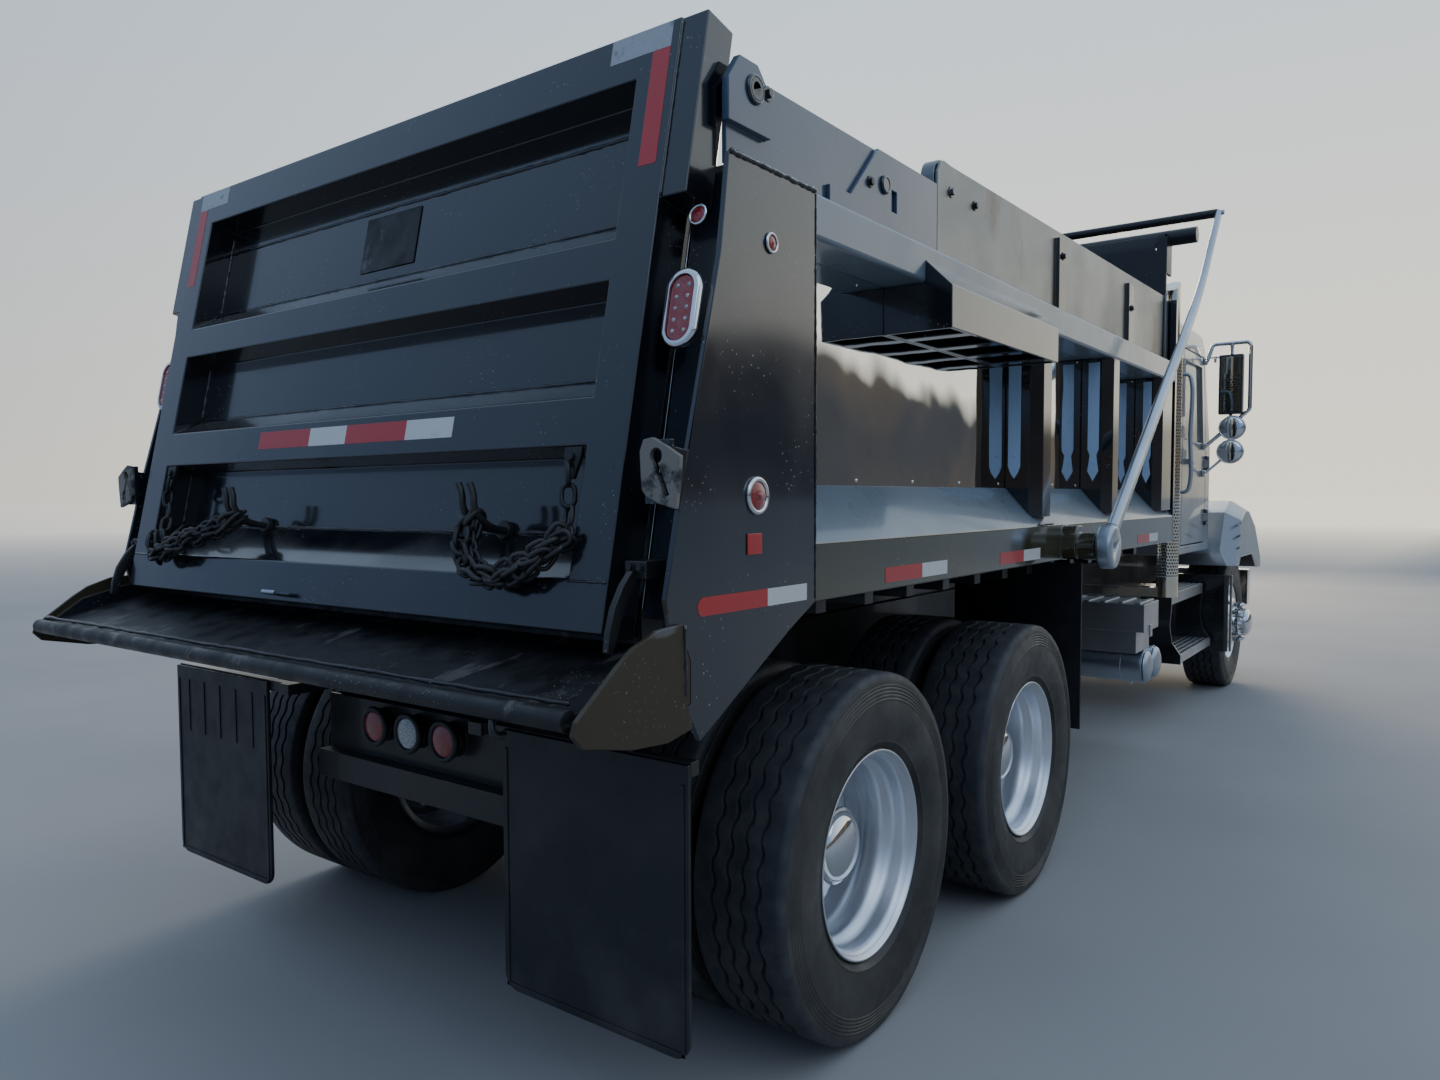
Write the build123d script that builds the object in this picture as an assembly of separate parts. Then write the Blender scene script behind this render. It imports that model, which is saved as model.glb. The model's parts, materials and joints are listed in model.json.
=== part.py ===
from build123d import *
import math
import os

# Tandem-axle dump truck, sizes in millimetres.
# X runs forward from the rearmost axle, Y to the left, Z up from the ground.

# Wheels and axles
axle_spacing = 1321.0
wheelbase = 5940.0
tyre_radius = 522.0
tyre_width = 300.0
tyre_shoulder = 22.0
tread_ease = 12.0
tread_inset = 40.0
tyre_bead_width = 222.0
rim_flange_radius = 298.0
rim_seat_radius = 284.0
rim_drop_radius = 262.0
rim_wall = 12.0
rim_width = 254.0
rim_outer_face = 1200.0
dual_spacing = 335.0
disc_offset = 168.0
disc_thickness = 14.0
hand_hole_radius = 27.0
hand_hole_circle = 208.0
hand_hole_count = 10
hub_radius = 112.0
hub_cap_radius = 104.0
drive_hub_reach = 1128.0
drive_hub_depth = 190.0
front_hub_depth = 90.0
front_tyre_centre = 950.0
front_hub_reach = 1200.0
seat_gap = 0.3
pin_gap = 0.4
run_gap = 0.5
move_gap = 8.0

# Chassis
frame_half = 432.0
frame_flange = 85.0
frame_web = 10.0
frame_depth = 267.0
frame_top = 1060.0
frame_rear = -640.0
frame_front = 7340.0
axle_tube_radius = 75.0
axle_bowl_radius = 215.0
beam_depth = 110.0
beam_width = 95.0
kingpin_y = 765.0
kingpin_radius = 24.0
steer_arm_length = 190.0
spring_width = 90.0
spring_y = 390.0
shaft_radius = 48.0
engine_rear = 6090.0
engine_front = 7080.0
engine_half = 335.0
engine_low = 620.0
engine_high = 1560.0
gearbox_length = 555.0
radiator_x = 7150.0
radiator_depth = 90.0
radiator_half = 335.0
radiator_low = 870.0
radiator_high = 1500.0
lamp_bar_half = 475.0
lamp_bar_low = 630.0
lamp_bar_high = 900.0
rear_lamp_pitch = 165.0
rear_lamp_radius = 52.0
rear_lamp_z = 835.0
flap_x = -825.0
flap_inner = 560.0
flap_outer = 1160.0
flap_low = 270.0
flap_high = 950.0
flap_thickness = 12.0
shield_x = 1950.0
shield_inner = 640.0
shield_outer = 1215.0
shield_low = 520.0
shield_high = 1250.0
tank_radius = 95.0
tank_x = 3750.0
tank_pitch = 215.0
tank_z = 540.0
tank_inner = 520.0
tank_outer = 1105.0
fuel_radius = 310.0
fuel_x = 3350.0
fuel_length = 1250.0
fuel_y = 800.0
fuel_z = 640.0
battery_rear = 3520.0
battery_front = 3870.0
battery_inner = 560.0
battery_outer = 1120.0
battery_low = 640.0
battery_cover_low = 765.0
battery_high = 925.0
stack_x = 4590.0
stack_y = 1015.0
stack_radius = 50.0
guard_radius = 66.0
stack_low = 880.0
stack_high = 2960.0
step_rear = 4750.0
step_front = 5790.0
step_inner = 820.0
steps = ((423.0, 475.0, 1075.0), (813.0, 882.0, 1015.0))
wheel_guard_x = 5860.0
wheel_guard_outer = 1195.0
wheel_guard_low = 370.0
wheel_guard_high = 945.0

# Cab, hood and bumper
cab_rear = 4880.0
cab_front = 6050.0
cab_half = 1000.0
cab_low = 1130.0
cab_waist = 1900.0
cab_high = 2740.0
screen_top_x = 5780.0
screen_top_z = 2620.0
cab_wall = 50.0
door_rear = 5060.0
door_front = 5890.0
door_low = 1190.0
door_high = 2560.0
door_slant = 130.0
door_gap = 7.0
glass_thickness = 8.0
window_low = 1930.0
window_high = 2480.0
frame_bar = 70.0
hinge_radius = 12.0
hinge_pin_radius = 6.0
hinge_half = 30.0
hinge_heights = (1380.0, 1780.0)
seat_y = 460.0
seat_x = 5120.0
mirror_x = 5750.0
mirror_gap = 105.0
mirror_width = 155.0
mirror_low = 2135.0
mirror_high = 2565.0
mirror_depth = 70.0
mirror_loop_reach = 304.0
mirror_tube_radius = 14.0
mirror_feet = (2530.0, 1905.0, 1705.0)
round_mirrors = ((198.0, 2035.0), (188.0, 1862.0))
round_mirror_radius = 88.0
hood_front = 7400.0
hood_rear = 6075.0
hood_half_rear = 700.0
hood_half_front = 520.0
hood_high_rear = 1890.0
hood_high_front = 1640.0
hood_low = 900.0
hood_wall = 25.0
fender_rear = 6075.0
fender_front = 7330.0
fender_inner = 600.0
fender_outer = 1190.0
fender_low_rear = 1000.0
fender_low_front = 930.0
fender_crest = 1500.0
fender_round = 110.0
arch_half = 480.0
arch_gap = 30.0
grille_half = 430.0
grille_low = 960.0
grille_high = 1540.0
grille_bars = 12
headlamp_y = 860.0
headlamp_z = 1120.0
headlamp_half = 130.0
headlamp_height = 190.0
headlamp_depth = 90.0
hood_pivot_x = 7520.0
hood_pivot_z = 845.0
hood_pivot_y = 360.0
hood_boss_radius = 30.0
hood_pin_radius = 14.0
bumper_rear = 7450.0
bumper_front = 7640.0
bumper_half = 1080.0
bumper_low = 585.0
bumper_high = 890.0
bumper_wall = 14.0
tow_pin_y = 300.0
tow_pin_reach = 36.0
tow_bore_radius = 26.0
tow_ear = 22.0
tow_ear_half = 48.0
tow_eye_length = 70.0
tow_low = 640.0
tow_high = 720.0

# Bed
bed_half = 1220.0
bed_inner_half = 1067.0
sheet_thickness = 18.0
floor_top = 1330.0
floor_thickness = 12.0
rail_top = 2297.0
rail_low = 2184.0
skirt_low = 1280.0
skirt_high = 1427.0
skirt_slope_top = 1578.0
seam_x = -375.0
wall_front = 3700.0
front_wall_thickness = 40.0
front_wall_high = 2650.0
sill_half = 395.0
sill_width = 80.0
sill_low = 1068.0
cross_sill_low = 1205.0
cross_sill_pitch = 305.0
cross_sill_width = 60.0
bed_pivot_x = -600.0
bed_pivot_z = 1130.0
bed_pin_radius = 32.0
bed_ear = 30.0
post_xs = (1440.0, 2450.0, 3520.0)
post_half = 90.0
post_front_half = 150.0
post_low = 1462.0
post_chamfer = 40.0
board_inner = 1125.0
board_outer = 1170.0
metal_board_rear = 450.0
metal_board_front = 3690.0
metal_board_high_rear = 2610.0
metal_board_high_front = 2665.0
board_round = 60.0
strap_xs = (1720.0, 2840.0)
rear_board_high = 2520.0
rear_board_inner = 1158.0
corner_plate = 14.0
corner_inner = 1090.0
wing_thickness = 12.0
side_lamps = ((-585.0, 2130.0, 22.0), (-645.0, 1547.0, 38.0))
stop_lamp_y = 1153.0
stop_lamp_half = 36.0
stop_lamp_low = 1915.0
stop_lamp_high = 1990.0
apron_rear = -1250.0
apron_gap = 12.0
apron_drop = 82.0
apron_pipe_inset = 6.0
apron_pipe_radius = 22.0
gate_top_x = -732.0
gate_top_z = 2629.0
gate_lean = 12.02
gate_length = 1403.0
gate_half = 1080.0
gate_open_half = 964.0
gate_depth = 110.0
gate_recess = 90.0
gate_skin = 12.0
gate_clearance = 8.0
gate_open_top = 122.0
gate_sill = 113.0
rib_rows = ((428.0, 509.0, 609.0), (810.0, 879.0, 990.0))
gate_pin_x = -600.0
gate_pin_z = 2480.0
gate_pin_radius = 20.0
cap_outer = 1150.0
cap_length = 430.0
cap_front = 105.0
side_box_rear = 278.0
side_box_front = 1285.0
side_box_outer = 1305.0
side_box_low = 2040.0
side_box_edge = 2166.0
side_box_high = 2250.0
arm_y = 1380.0
arm_thickness = 50.0
arm_pivot_x = 1690.0
arm_pivot_z = 1337.0
arm_elbow_x = 3440.0
arm_elbow_z = 2612.0
arm_top_x = 3957.0
arm_top_z = 3160.0
arm_half_low = 38.0
arm_half_high = 24.0
arm_boss_radius = 90.0
arm_boss_face = 1420.0
arm_pin_radius = 25.0
bow_radius = 25.0
deflector_x = 3715.0
deflector_high = 3075.0
deflector_half = 1100.0
deflector_thickness = 10.0
deflector_post = 59.0
roll_plate = 220.0
roll_radius = 45.0
roll_x = 3800.0
roll_z = 3030.0
roll_half = 1300.0

# Hoist between the bed and the cab
hoist_x = 4260.0
hoist_z = 1000.0
hoist_eye_x = 4220.0
hoist_eye_z = 2420.0
hoist_radii = (105.0, 88.0, 72.0, 56.0)
hoist_low = 830.0
hoist_high = 2270.0
hoist_eye_radius = 60.0
hoist_pin_radius = 32.0
trunnion_radius = 35.0
trunnion_half = 210.0

# Chains on the tailgate, their paths given across to the right and up from its lower edge
chain_wire = 11.0
chain_width = 44.0
chain_pitch = 32.0
chain_off = 24.0
chain_lug_across = 925.0
horn_half = 16.0
chain_paths = (
    [(655.0, 238.0), (650.0, 188.0), (690.0, 128.0), (770.0, 103.0), (850.0, 123.0), (905.0, 158.0),
     (942.0, 198.0), (938.0, 273.0)],
    [(-420.0, 236.0), (-460.0, 210.0), (-557.0, 178.0), (-710.0, 139.0), (-816.0, 113.0), (-881.0, 158.0),
     (-905.0, 253.0)],
)

front_axle_x = axle_spacing / 2 + wheelbase
drive_axle_xs = (0.0, axle_spacing)
rear_end = apron_rear - apron_pipe_inset - apron_pipe_radius
mid_x = (rear_end + bumper_front + tow_eye_length) / 2
lean_tan = math.tan(math.radians(gate_lean))
lean_cos = math.cos(math.radians(gate_lean))
gate_low_z = gate_top_z - gate_length * lean_cos - gate_depth * lean_tan * lean_cos
apron_high = gate_low_z - apron_gap
apron_low = apron_high - apron_drop


def box(x0, x1, y0, y1, z0, z1):
    """A block between two corners."""
    block = Box(abs(x1 - x0), abs(y1 - y0), abs(z1 - z0))
    return Pos((x0 + x1) / 2, (y0 + y1) / 2, (z0 + z1) / 2) * block


def side_plate(points, y0, y1):
    """An outline in X and Z, given thickness along Y."""
    face = Pos(0, y0, 0) * (Plane.XZ * Polygon(*points, align=None))
    return extrude(face, amount=y1 - y0, dir=(0, 1, 0))


def cross_plate(points, x0, x1):
    """An outline in Y and Z, given thickness along X."""
    face = Pos(x0, 0, 0) * (Plane.YZ * Polygon(*points, align=None))
    return extrude(face, amount=x1 - x0, dir=(1, 0, 0))


def turned(points):
    """A closed outline of Y and radius, turned about the Y axis."""
    return revolve(Plane.YZ * Polygon(*points, align=None), axis=Axis.Y)


def rod(start, end, radius):
    """A round bar from one point to another."""
    line = Vector(*end) - Vector(*start)
    plane = Plane(origin=start, z_dir=line)
    return extrude(plane * Circle(radius), amount=line.length, dir=line.normalized())


def across(x, z, radius, y0, y1):
    """A round bar along Y."""
    return rod((x, y0, z), (x, y1, z), radius)


def mirrored(shape):
    """The same piece on the other side of the truck."""
    return mirror(shape, about=Plane.XZ)


def pair(shape):
    """A piece and its mirror image."""
    return [shape, mirrored(shape)]


def bent_bar(points, radius, bend):
    """A round bar along straight runs joined by equal bends."""
    corners = [Vector(*p) for p in points]
    path = FilletPolyline(*corners, radius=bend)
    plane = Plane(origin=corners[0], z_dir=corners[1] - corners[0])
    return sweep(plane * Circle(radius), path=path)


def save(name, *pieces):
    """Write the solids of one sub-part, moved so that X = 0 is the middle of the truck."""
    solids = []
    for piece in pieces:
        for shape in piece if isinstance(piece, (list, tuple)) else [piece]:
            solids += shape.solids()
    moved = [solid.moved(Location((-mid_x, 0, 0))) for solid in solids]
    export_step(Compound(moved), f"parts/{name}.step")


# Wheels

def tyre(centre_y):
    half = tyre_width / 2
    bead = tyre_bead_width / 2
    bore = rim_seat_radius + seat_gap
    widest = bore + (tyre_radius - bore) * 0.5
    shoulder = tyre_radius - tyre_shoulder
    outline = [
        (-bead, bore), (bead, bore), (bead, rim_flange_radius + 1), (half, widest),
        (half - tread_ease, shoulder), (half - tread_inset, tyre_radius), (tread_inset - half, tyre_radius),
        (tread_ease - half, shoulder), (-half, widest), (-bead, rim_flange_radius + 1),
    ]
    return turned([(centre_y + y, r) for y, r in outline])


def rim_barrel(centre_y):
    half = rim_width / 2
    seat = tyre_bead_width / 2 + seat_gap
    drop = 40.0
    outer = [
        (-half, rim_flange_radius), (-seat, rim_flange_radius), (-seat, rim_seat_radius),
        (-drop - 20, rim_seat_radius), (-drop, rim_drop_radius), (drop, rim_drop_radius),
        (drop + 20, rim_seat_radius), (seat, rim_seat_radius), (seat, rim_flange_radius),
        (half, rim_flange_radius),
    ]
    inner = [
        (half, rim_seat_radius - rim_wall), (drop + 20, rim_seat_radius - rim_wall),
        (drop, rim_drop_radius - rim_wall), (-drop, rim_drop_radius - rim_wall),
        (-drop - 20, rim_seat_radius - rim_wall), (-half, rim_seat_radius - rim_wall),
    ]
    return turned([(centre_y + y, r) for y, r in outer + inner])


def disc_with_holes(face_y, edge_y):
    """A wheel disc whose rim joins the barrel at edge_y and whose middle stands at face_y."""
    reach = rim_seat_radius - rim_wall
    near, far = (face_y, edge_y)
    outline = [
        (near, 70.0), (near, 150.0), (near + (far - near) * 0.45, 225.0), (far, reach + 4),
        (far + disc_thickness, reach + 4), (near + (far - near) * 0.45 + disc_thickness, 225.0),
        (near + disc_thickness, 150.0), (near + disc_thickness, 70.0),
    ]
    disc = turned(outline)
    low = min(near, far) - 60
    high = max(near, far) + 60
    for index in range(hand_hole_count):
        turn = math.radians(360.0 / hand_hole_count * index)
        hole = across(hand_hole_circle * math.cos(turn), hand_hole_circle * math.sin(turn),
                      hand_hole_radius, low, high)
        disc -= hole
    return disc


def hub(root_y, face_y, reach_y):
    outline = [
        (root_y, 0), (root_y, hub_radius), (face_y + 60, hub_radius), (face_y + 60, hub_cap_radius),
        (reach_y - 22, hub_cap_radius * 0.96), (reach_y - 6, hub_cap_radius * 0.62), (reach_y, 0),
    ]
    return turned(outline)


def drive_rims():
    outer_centre = rim_outer_face - rim_width / 2
    inner_centre = outer_centre - dual_spacing
    middle = (outer_centre + inner_centre) / 2
    wheel = rim_barrel(outer_centre) + rim_barrel(inner_centre)
    wheel += disc_with_holes(middle, outer_centre - rim_width / 2)
    wheel += disc_with_holes(middle - disc_thickness, inner_centre + rim_width / 2 - disc_thickness)
    return wheel + hub(middle - drive_hub_depth, middle, drive_hub_reach)


def front_rim():
    face = front_tyre_centre + disc_offset
    wheel = rim_barrel(front_tyre_centre)
    wheel += disc_with_holes(face - disc_thickness, front_tyre_centre + rim_width / 2 - disc_thickness)
    return wheel + hub(front_tyre_centre - front_hub_depth, face, front_hub_reach)


def wheels():
    outer_centre = rim_outer_face - rim_width / 2
    inner_centre = outer_centre - dual_spacing
    drive_tyres = [tyre(outer_centre), tyre(inner_centre)]
    drive_rim = drive_rims()
    steer_tyre = tyre(front_tyre_centre)
    steer_rim = front_rim()
    for label, x in zip(("rear", "middle"), drive_axle_xs):
        place = Pos(x, 0, tyre_radius)
        save(f"tyres_{label}_left", [place * t for t in drive_tyres])
        save(f"tyres_{label}_right", [mirrored(place * t) for t in drive_tyres])
        save(f"rims_{label}_left", place * drive_rim)
        save(f"rims_{label}_right", mirrored(place * drive_rim))
    place = Pos(front_axle_x, 0, tyre_radius)
    save("tyre_front_left", place * steer_tyre)
    save("tyre_front_right", mirrored(place * steer_tyre))
    save("rim_front_left", place * steer_rim)
    save("rim_front_right", mirrored(place * steer_rim))


# Running gear

def frame_rails():
    outer = frame_half
    inner = frame_half - frame_flange
    low = frame_top - frame_depth
    rail = box(frame_rear, frame_front, inner, outer, low, frame_top)
    rail -= box(frame_rear - 1, frame_front + 1, inner - 1, outer - frame_web,
                low + frame_web, frame_top - frame_web)
    frame = rail + mirrored(rail)
    for x in (-560.0, axle_spacing / 2, 2350.0, 4650.0, frame_front - 60):
        frame += box(x, x + 60, -outer + frame_web, outer - frame_web, low + 20, frame_top - 30)
    frame += box(radiator_x + 10, radiator_x + radiator_depth - 10, -outer + frame_web, outer - frame_web,
                 low + 20, radiator_low - seat_gap)
    for side in (1, -1):
        frame += hinge_ear(side)
        frame += hoist_cradle(side)
        frame += hood_arm(side)
        frame += flap_arm(side)
    return frame


def hood_arm(side):
    """An arm ahead of the frame rail with the boss that the hood's pin turns in."""
    low = frame_top - frame_depth
    y0 = side * (hood_pivot_y - 20)
    y1 = side * (hood_pivot_y - 4)
    arm = box(frame_front - 60, hood_pivot_x + 5, y0, y1, low + 12, low + 62)
    arm += across(hood_pivot_x, hood_pivot_z, hood_boss_radius, y0, y1)
    return arm - across(hood_pivot_x, hood_pivot_z, hood_pin_radius + pin_gap, y0 - side, y1 + side)


def hinge_ear(side):
    """A plate on the frame rail that carries the bed's hinge pin."""
    y0 = side * (frame_half - frame_flange + 5)
    y1 = side * (frame_half - frame_flange + 5 + bed_ear)
    ear = box(bed_pivot_x - 40, bed_pivot_x + 70, y0, y1, frame_top - 40, bed_pivot_z)
    ear += across(bed_pivot_x, bed_pivot_z, bed_pin_radius + 22, y0, y1)
    return ear - across(bed_pivot_x, bed_pivot_z, bed_pin_radius + pin_gap, y0 - side, y1 + side)


def hoist_cradle(side):
    """A block inside the frame rail with the bore that the hoist's trunnion turns in."""
    y0 = side * (trunnion_half - 40)
    y1 = side * (frame_half - frame_web + 1)
    block = box(hoist_x - 60, hoist_x + 60, y0, y1, hoist_z - 70, hoist_z + 70)
    return block - across(hoist_x, hoist_z, trunnion_radius + pin_gap, y0 - side, side * (trunnion_half + 2))


def flap_arm(side):
    """The bar that the rear flap hangs from, with its arm to the frame."""
    arm = box(flap_x - 8, frame_rear + 30, side * (frame_half - 1), side * (frame_half + 50),
              flap_high - 30, flap_high + 5)
    bar = box(flap_x + flap_thickness / 2 + seat_gap, flap_x + flap_thickness / 2 + 32,
              side * (frame_half - 1), side * flap_outer, flap_high - 30, flap_high + 5)
    return arm + bar


def front_axle():
    x = front_axle_x
    low = tyre_radius - 95
    outline = [
        (-kingpin_y + 40, tyre_radius + 55), (-kingpin_y + 40, tyre_radius - 55), (-640, tyre_radius - 60),
        (-520, low), (520, low), (640, tyre_radius - 60), (kingpin_y - 40, tyre_radius - 55),
        (kingpin_y - 40, tyre_radius + 55), (620, tyre_radius + 40), (500, low + beam_depth),
        (-500, low + beam_depth), (-620, tyre_radius + 40),
    ]
    beam = cross_plate(outline, x - beam_width / 2, x + beam_width / 2)
    for side in (1, -1):
        eye = Pos(x, side * kingpin_y, tyre_radius) * Cylinder(58, 110)
        bore = Pos(x, side * kingpin_y, tyre_radius) * Cylinder(kingpin_radius + pin_gap, 120)
        beam = beam + eye - bore
    return beam


def knuckle(side):
    """A steering knuckle: two ears on the kingpin, a spindle and an arm."""
    x = front_axle_x
    y = side * kingpin_y
    pin = Pos(x, y, tyre_radius) * Cylinder(kingpin_radius, 240)
    ears = []
    for z in (tyre_radius - 88, tyre_radius + 88):
        ears.append(Pos(x, y, z) * Cylinder(52, 50))
        ears.append(box(x - 48, x + 48, y, y + side * 75, z - 25, z + 25))
    web = box(x - 48, x + 48, y + side * 66, y + side * 92, tyre_radius - 113, tyre_radius + 113)
    hub_root = front_tyre_centre - front_hub_depth
    plate = across(x, tyre_radius, 60, y + side * 66, side * (hub_root - run_gap))
    arm = box(x - 48 - steer_arm_length, x - 20, y - side * 10, y + side * 16,
              tyre_radius - 113, tyre_radius - 83)
    body = pin + web + plate + arm
    for ear in ears:
        body += ear
    return body


def drive_axles():
    """Both driven axles with the shafts that join them to the gearbox."""
    driveline = drive_shafts()
    reach = rim_outer_face - rim_width / 2 - dual_spacing / 2 - drive_hub_depth - run_gap
    for x in drive_axle_xs:
        tube = across(x, tyre_radius, axle_tube_radius, -reach, reach)
        bowl = turned([(-axle_bowl_radius, 0), (-axle_bowl_radius + 50, 120), (-60, axle_bowl_radius),
                       (60, axle_bowl_radius), (axle_bowl_radius - 50, 120), (axle_bowl_radius, 0)])
        housing = tube + Pos(x, 0, tyre_radius) * bowl
        driveline += housing + rod((x, 0, tyre_radius + 20), (x + 330, 0, tyre_radius + 60), 110)
    return driveline


def drive_shafts():
    joint = 320.0
    gearbox = engine_rear - gearbox_length
    rise = 230.0
    ends = [(drive_axle_xs[0] + joint, drive_axle_xs[1] - 100, 60, 20),
            (drive_axle_xs[1] + joint, gearbox - 30, 60, rise)]
    shafts = rod((gearbox - 60, 0, tyre_radius + rise), (gearbox - seat_gap, 0, tyre_radius + rise), 75)
    for x0, x1, rise0, rise1 in ends:
        shafts += rod((x0, 0, tyre_radius + rise0), (x1, 0, tyre_radius + rise1), shaft_radius)
    return shafts


def engine():
    block = box(engine_rear, engine_front, -engine_half, engine_half, 760.0, engine_high)
    pan = box(engine_rear + 250, engine_front - 100, -230, 230, engine_low, 762.0)
    gearbox = box(engine_rear - gearbox_length, engine_rear + 2, -210, 210, engine_low + 10, 1010.0)
    block = block + pan + gearbox
    foot_low = frame_top - frame_depth + frame_web + seat_gap
    for side in (1, -1):
        block += box(engine_rear + 200, engine_rear + 380, side * (engine_half - 1),
                     side * (frame_half - frame_web - 15), foot_low, foot_low + 60)
    return block


def leaf_pack(x, length, low, rise, leaves):
    """Stacked leaves that shorten downwards, under one frame rail."""
    thickness = 22.0
    pack = None
    for index in range(leaves):
        half = length / 2 - index * length / (2.4 * leaves)
        top = low + (leaves - index) * thickness
        camber = rise * (half / (length / 2)) ** 2
        outline = [(x - half, top + camber), (x, top), (x + half, top + camber),
                   (x + half, top + camber - thickness), (x, top - thickness),
                   (x - half, top + camber - thickness)]
        leaf = side_plate(outline, spring_y - spring_width / 2, spring_y + spring_width / 2)
        pack = leaf if pack is None else pack + leaf
    return pack + box(x - 70, x + 70, spring_y - spring_width / 2 - 8, spring_y + spring_width / 2 + 8,
                      low, low + (leaves + 1) * thickness)


def suspension():
    """Front leaf packs, a walking beam and saddle for the pair of drive axles, and their hangers."""
    low = tyre_radius - 95 + beam_depth + seat_gap
    spring = leaf_pack(front_axle_x, 1350, low, 90, 5)
    rail_low = frame_top - frame_depth - seat_gap
    hangers = None
    for x in (front_axle_x - 655, front_axle_x + 655):
        hanger = box(x - 45, x + 45, spring_y - 35, spring_y + 35, low + 150, rail_low)
        hangers = hanger if hangers is None else hangers + hanger
    front = spring + hangers
    middle = axle_spacing / 2
    beam_top = tyre_radius - axle_tube_radius - seat_gap
    beam_low = beam_top - 95
    outline = [(-130, beam_low + 35), (130, beam_low + 15), (middle, beam_low - 20),
               (axle_spacing - 130, beam_low + 15), (axle_spacing + 130, beam_low + 35),
               (axle_spacing + 130, beam_top), (axle_spacing - 130, beam_top), (middle + 300, beam_top + 25),
               (middle - 300, beam_top + 25), (130, beam_top), (-130, beam_top)]
    beam = side_plate(outline, spring_y - 60, spring_y + 40)
    saddle = side_plate([(middle - 60, beam_low + 60), (middle + 60, beam_low + 60),
                         (middle + 260, rail_low), (middle - 260, rail_low)],
                        spring_y - 40, spring_y + 30)
    rear = beam + saddle
    return pair(front) + pair(rear)


def tanks():
    """Two air tanks across the right side, and the fuel tank under the left side."""
    pieces = []
    for index in range(2):
        x = tank_x + index * tank_pitch
        dome = 35.0
        outline = [(-tank_outer, 0), (-tank_outer + 12, tank_radius * 0.6),
                   (-tank_outer + dome, tank_radius), (-tank_inner - dome, tank_radius),
                   (-tank_inner - 12, tank_radius * 0.6), (-tank_inner, 0)]
        pieces.append(Pos(x, 0, tank_z) * turned(outline))
    fuel = Pos(fuel_x, fuel_y, fuel_z) * (Rot(0, 90, 0) * Cylinder(fuel_radius, fuel_length))
    bracket = box(fuel_x - 300, fuel_x + 300, frame_half + seat_gap, fuel_y - 200, fuel_z + 200,
                  frame_top - 40)
    pieces.append(fuel + bracket)
    return pieces


def battery_box():
    """A box with a deep cover beside the right rail, with hangers for the air tanks below it."""
    case = box(battery_rear, battery_front, -battery_outer, -battery_inner, battery_cover_low, battery_high)
    case += box(battery_rear + 20, battery_front - 20, -battery_outer + 45, -battery_inner, battery_low,
                battery_cover_low + 1)
    case += box(battery_rear + 60, battery_front - 60, -battery_inner - 1, -frame_half - seat_gap,
                battery_low + 160, battery_high - 60)
    top = tank_z + tank_radius + seat_gap
    case += box(battery_front - 21, tank_x + tank_pitch + 40, -battery_outer + 90, -battery_inner - 60,
                battery_low, battery_low + 40)
    for index in range(2):
        x = tank_x + index * tank_pitch
        case += box(x - 20, x + 20, -tank_outer + 90, -tank_inner - 60, top, battery_low + 2)
    return case


def cab_steps():
    """Two steps between side plates, and the guard behind the front wheel, on each side."""
    low, low_top, low_outer = steps[0]
    high, high_top, high_outer = steps[1]
    pieces = []
    for side in (1, -1):
        ladder = box(step_rear, step_front, side * step_inner, side * (step_inner + 12), low - 10, high_top)
        for z0, z1, outer in steps:
            ladder += box(step_rear, step_front, side * step_inner, side * outer, z0, z1)
        outline = [(side * step_inner, low - 10), (side * low_outer, low - 10), (side * low_outer, low_top),
                   (side * (low_outer - 55), low_top + 80), (side * (low_outer - 70), low_top + 190),
                   (side * high_outer, high), (side * high_outer, high_top), (side * step_inner, high_top)]
        for x in (step_rear, step_front - 14):
            ladder += cross_plate(outline, x, x + 14)
        ladder += box(step_rear + 150, step_front - 150, side * (frame_half + seat_gap),
                      side * (step_inner + 5), high - 15, high_top - 5)
        ladder += wheel_guard(side)
        pieces.append(ladder)
    return pieces


def wheel_guard(side):
    """The plate between the steps and the front wheel, rounded at its outer edge."""
    x = wheel_guard_x
    wall = 12.0
    plate = box(x, x + 60, side * step_inner, side * wheel_guard_outer, wheel_guard_low, wheel_guard_high)
    upright = plate.edges().filter_by(Axis.Z)
    outer = upright.filter_by(lambda e: abs(e.center().Y - side * wheel_guard_outer) < 1)
    plate = fillet(outer.sort_by(Axis.X)[0], 50)
    plate -= box(x + wall, x + 61, side * (step_inner - 1), side * (wheel_guard_outer - wall),
                 wheel_guard_low - 1, wheel_guard_high - wall)
    return plate + box(step_front - 5, x + 2, side * step_inner, side * (step_inner + 60),
                       wheel_guard_high - 120, wheel_guard_high - 60)


def exhaust_stack():
    """An upright pipe behind the cab inside its guard, cut slanting at the top."""
    pipe = Cylinder(stack_radius, stack_high - stack_low)
    pipe = Pos(stack_x, -stack_y, (stack_low + stack_high) / 2) * pipe
    guard_high = stack_high - 420
    guard = Cylinder(guard_radius, guard_high - stack_low)
    guard = Pos(stack_x, -stack_y, (stack_low + guard_high) / 2) * guard
    stack = pipe + guard
    stack -= Pos(stack_x - 40, -stack_y, stack_high) * (Rot(0, -35, 0) * Box(400, 300, 150))
    foot = box(stack_x - 50, stack_x + 50, -stack_y, -frame_half - seat_gap, stack_low, stack_low + 60)
    return stack + foot


def mud_flaps():
    """Rear flaps hung behind the wheels and plates ahead of the drive wheels."""
    flap = box(flap_x - flap_thickness / 2, flap_x + flap_thickness / 2, flap_inner, flap_outer,
               flap_low, flap_high)
    flap = fillet(flap.edges().filter_by(Axis.X).group_by(Axis.Z)[0], 45)
    plate = box(shield_x, shield_x + 10, shield_inner, shield_outer, shield_low, shield_high)
    arm = box(shield_x, shield_x + 50, frame_half + seat_gap, shield_inner + 1, frame_top - 150,
              frame_top - 90)
    return pair(flap) + pair(plate + arm)


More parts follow.
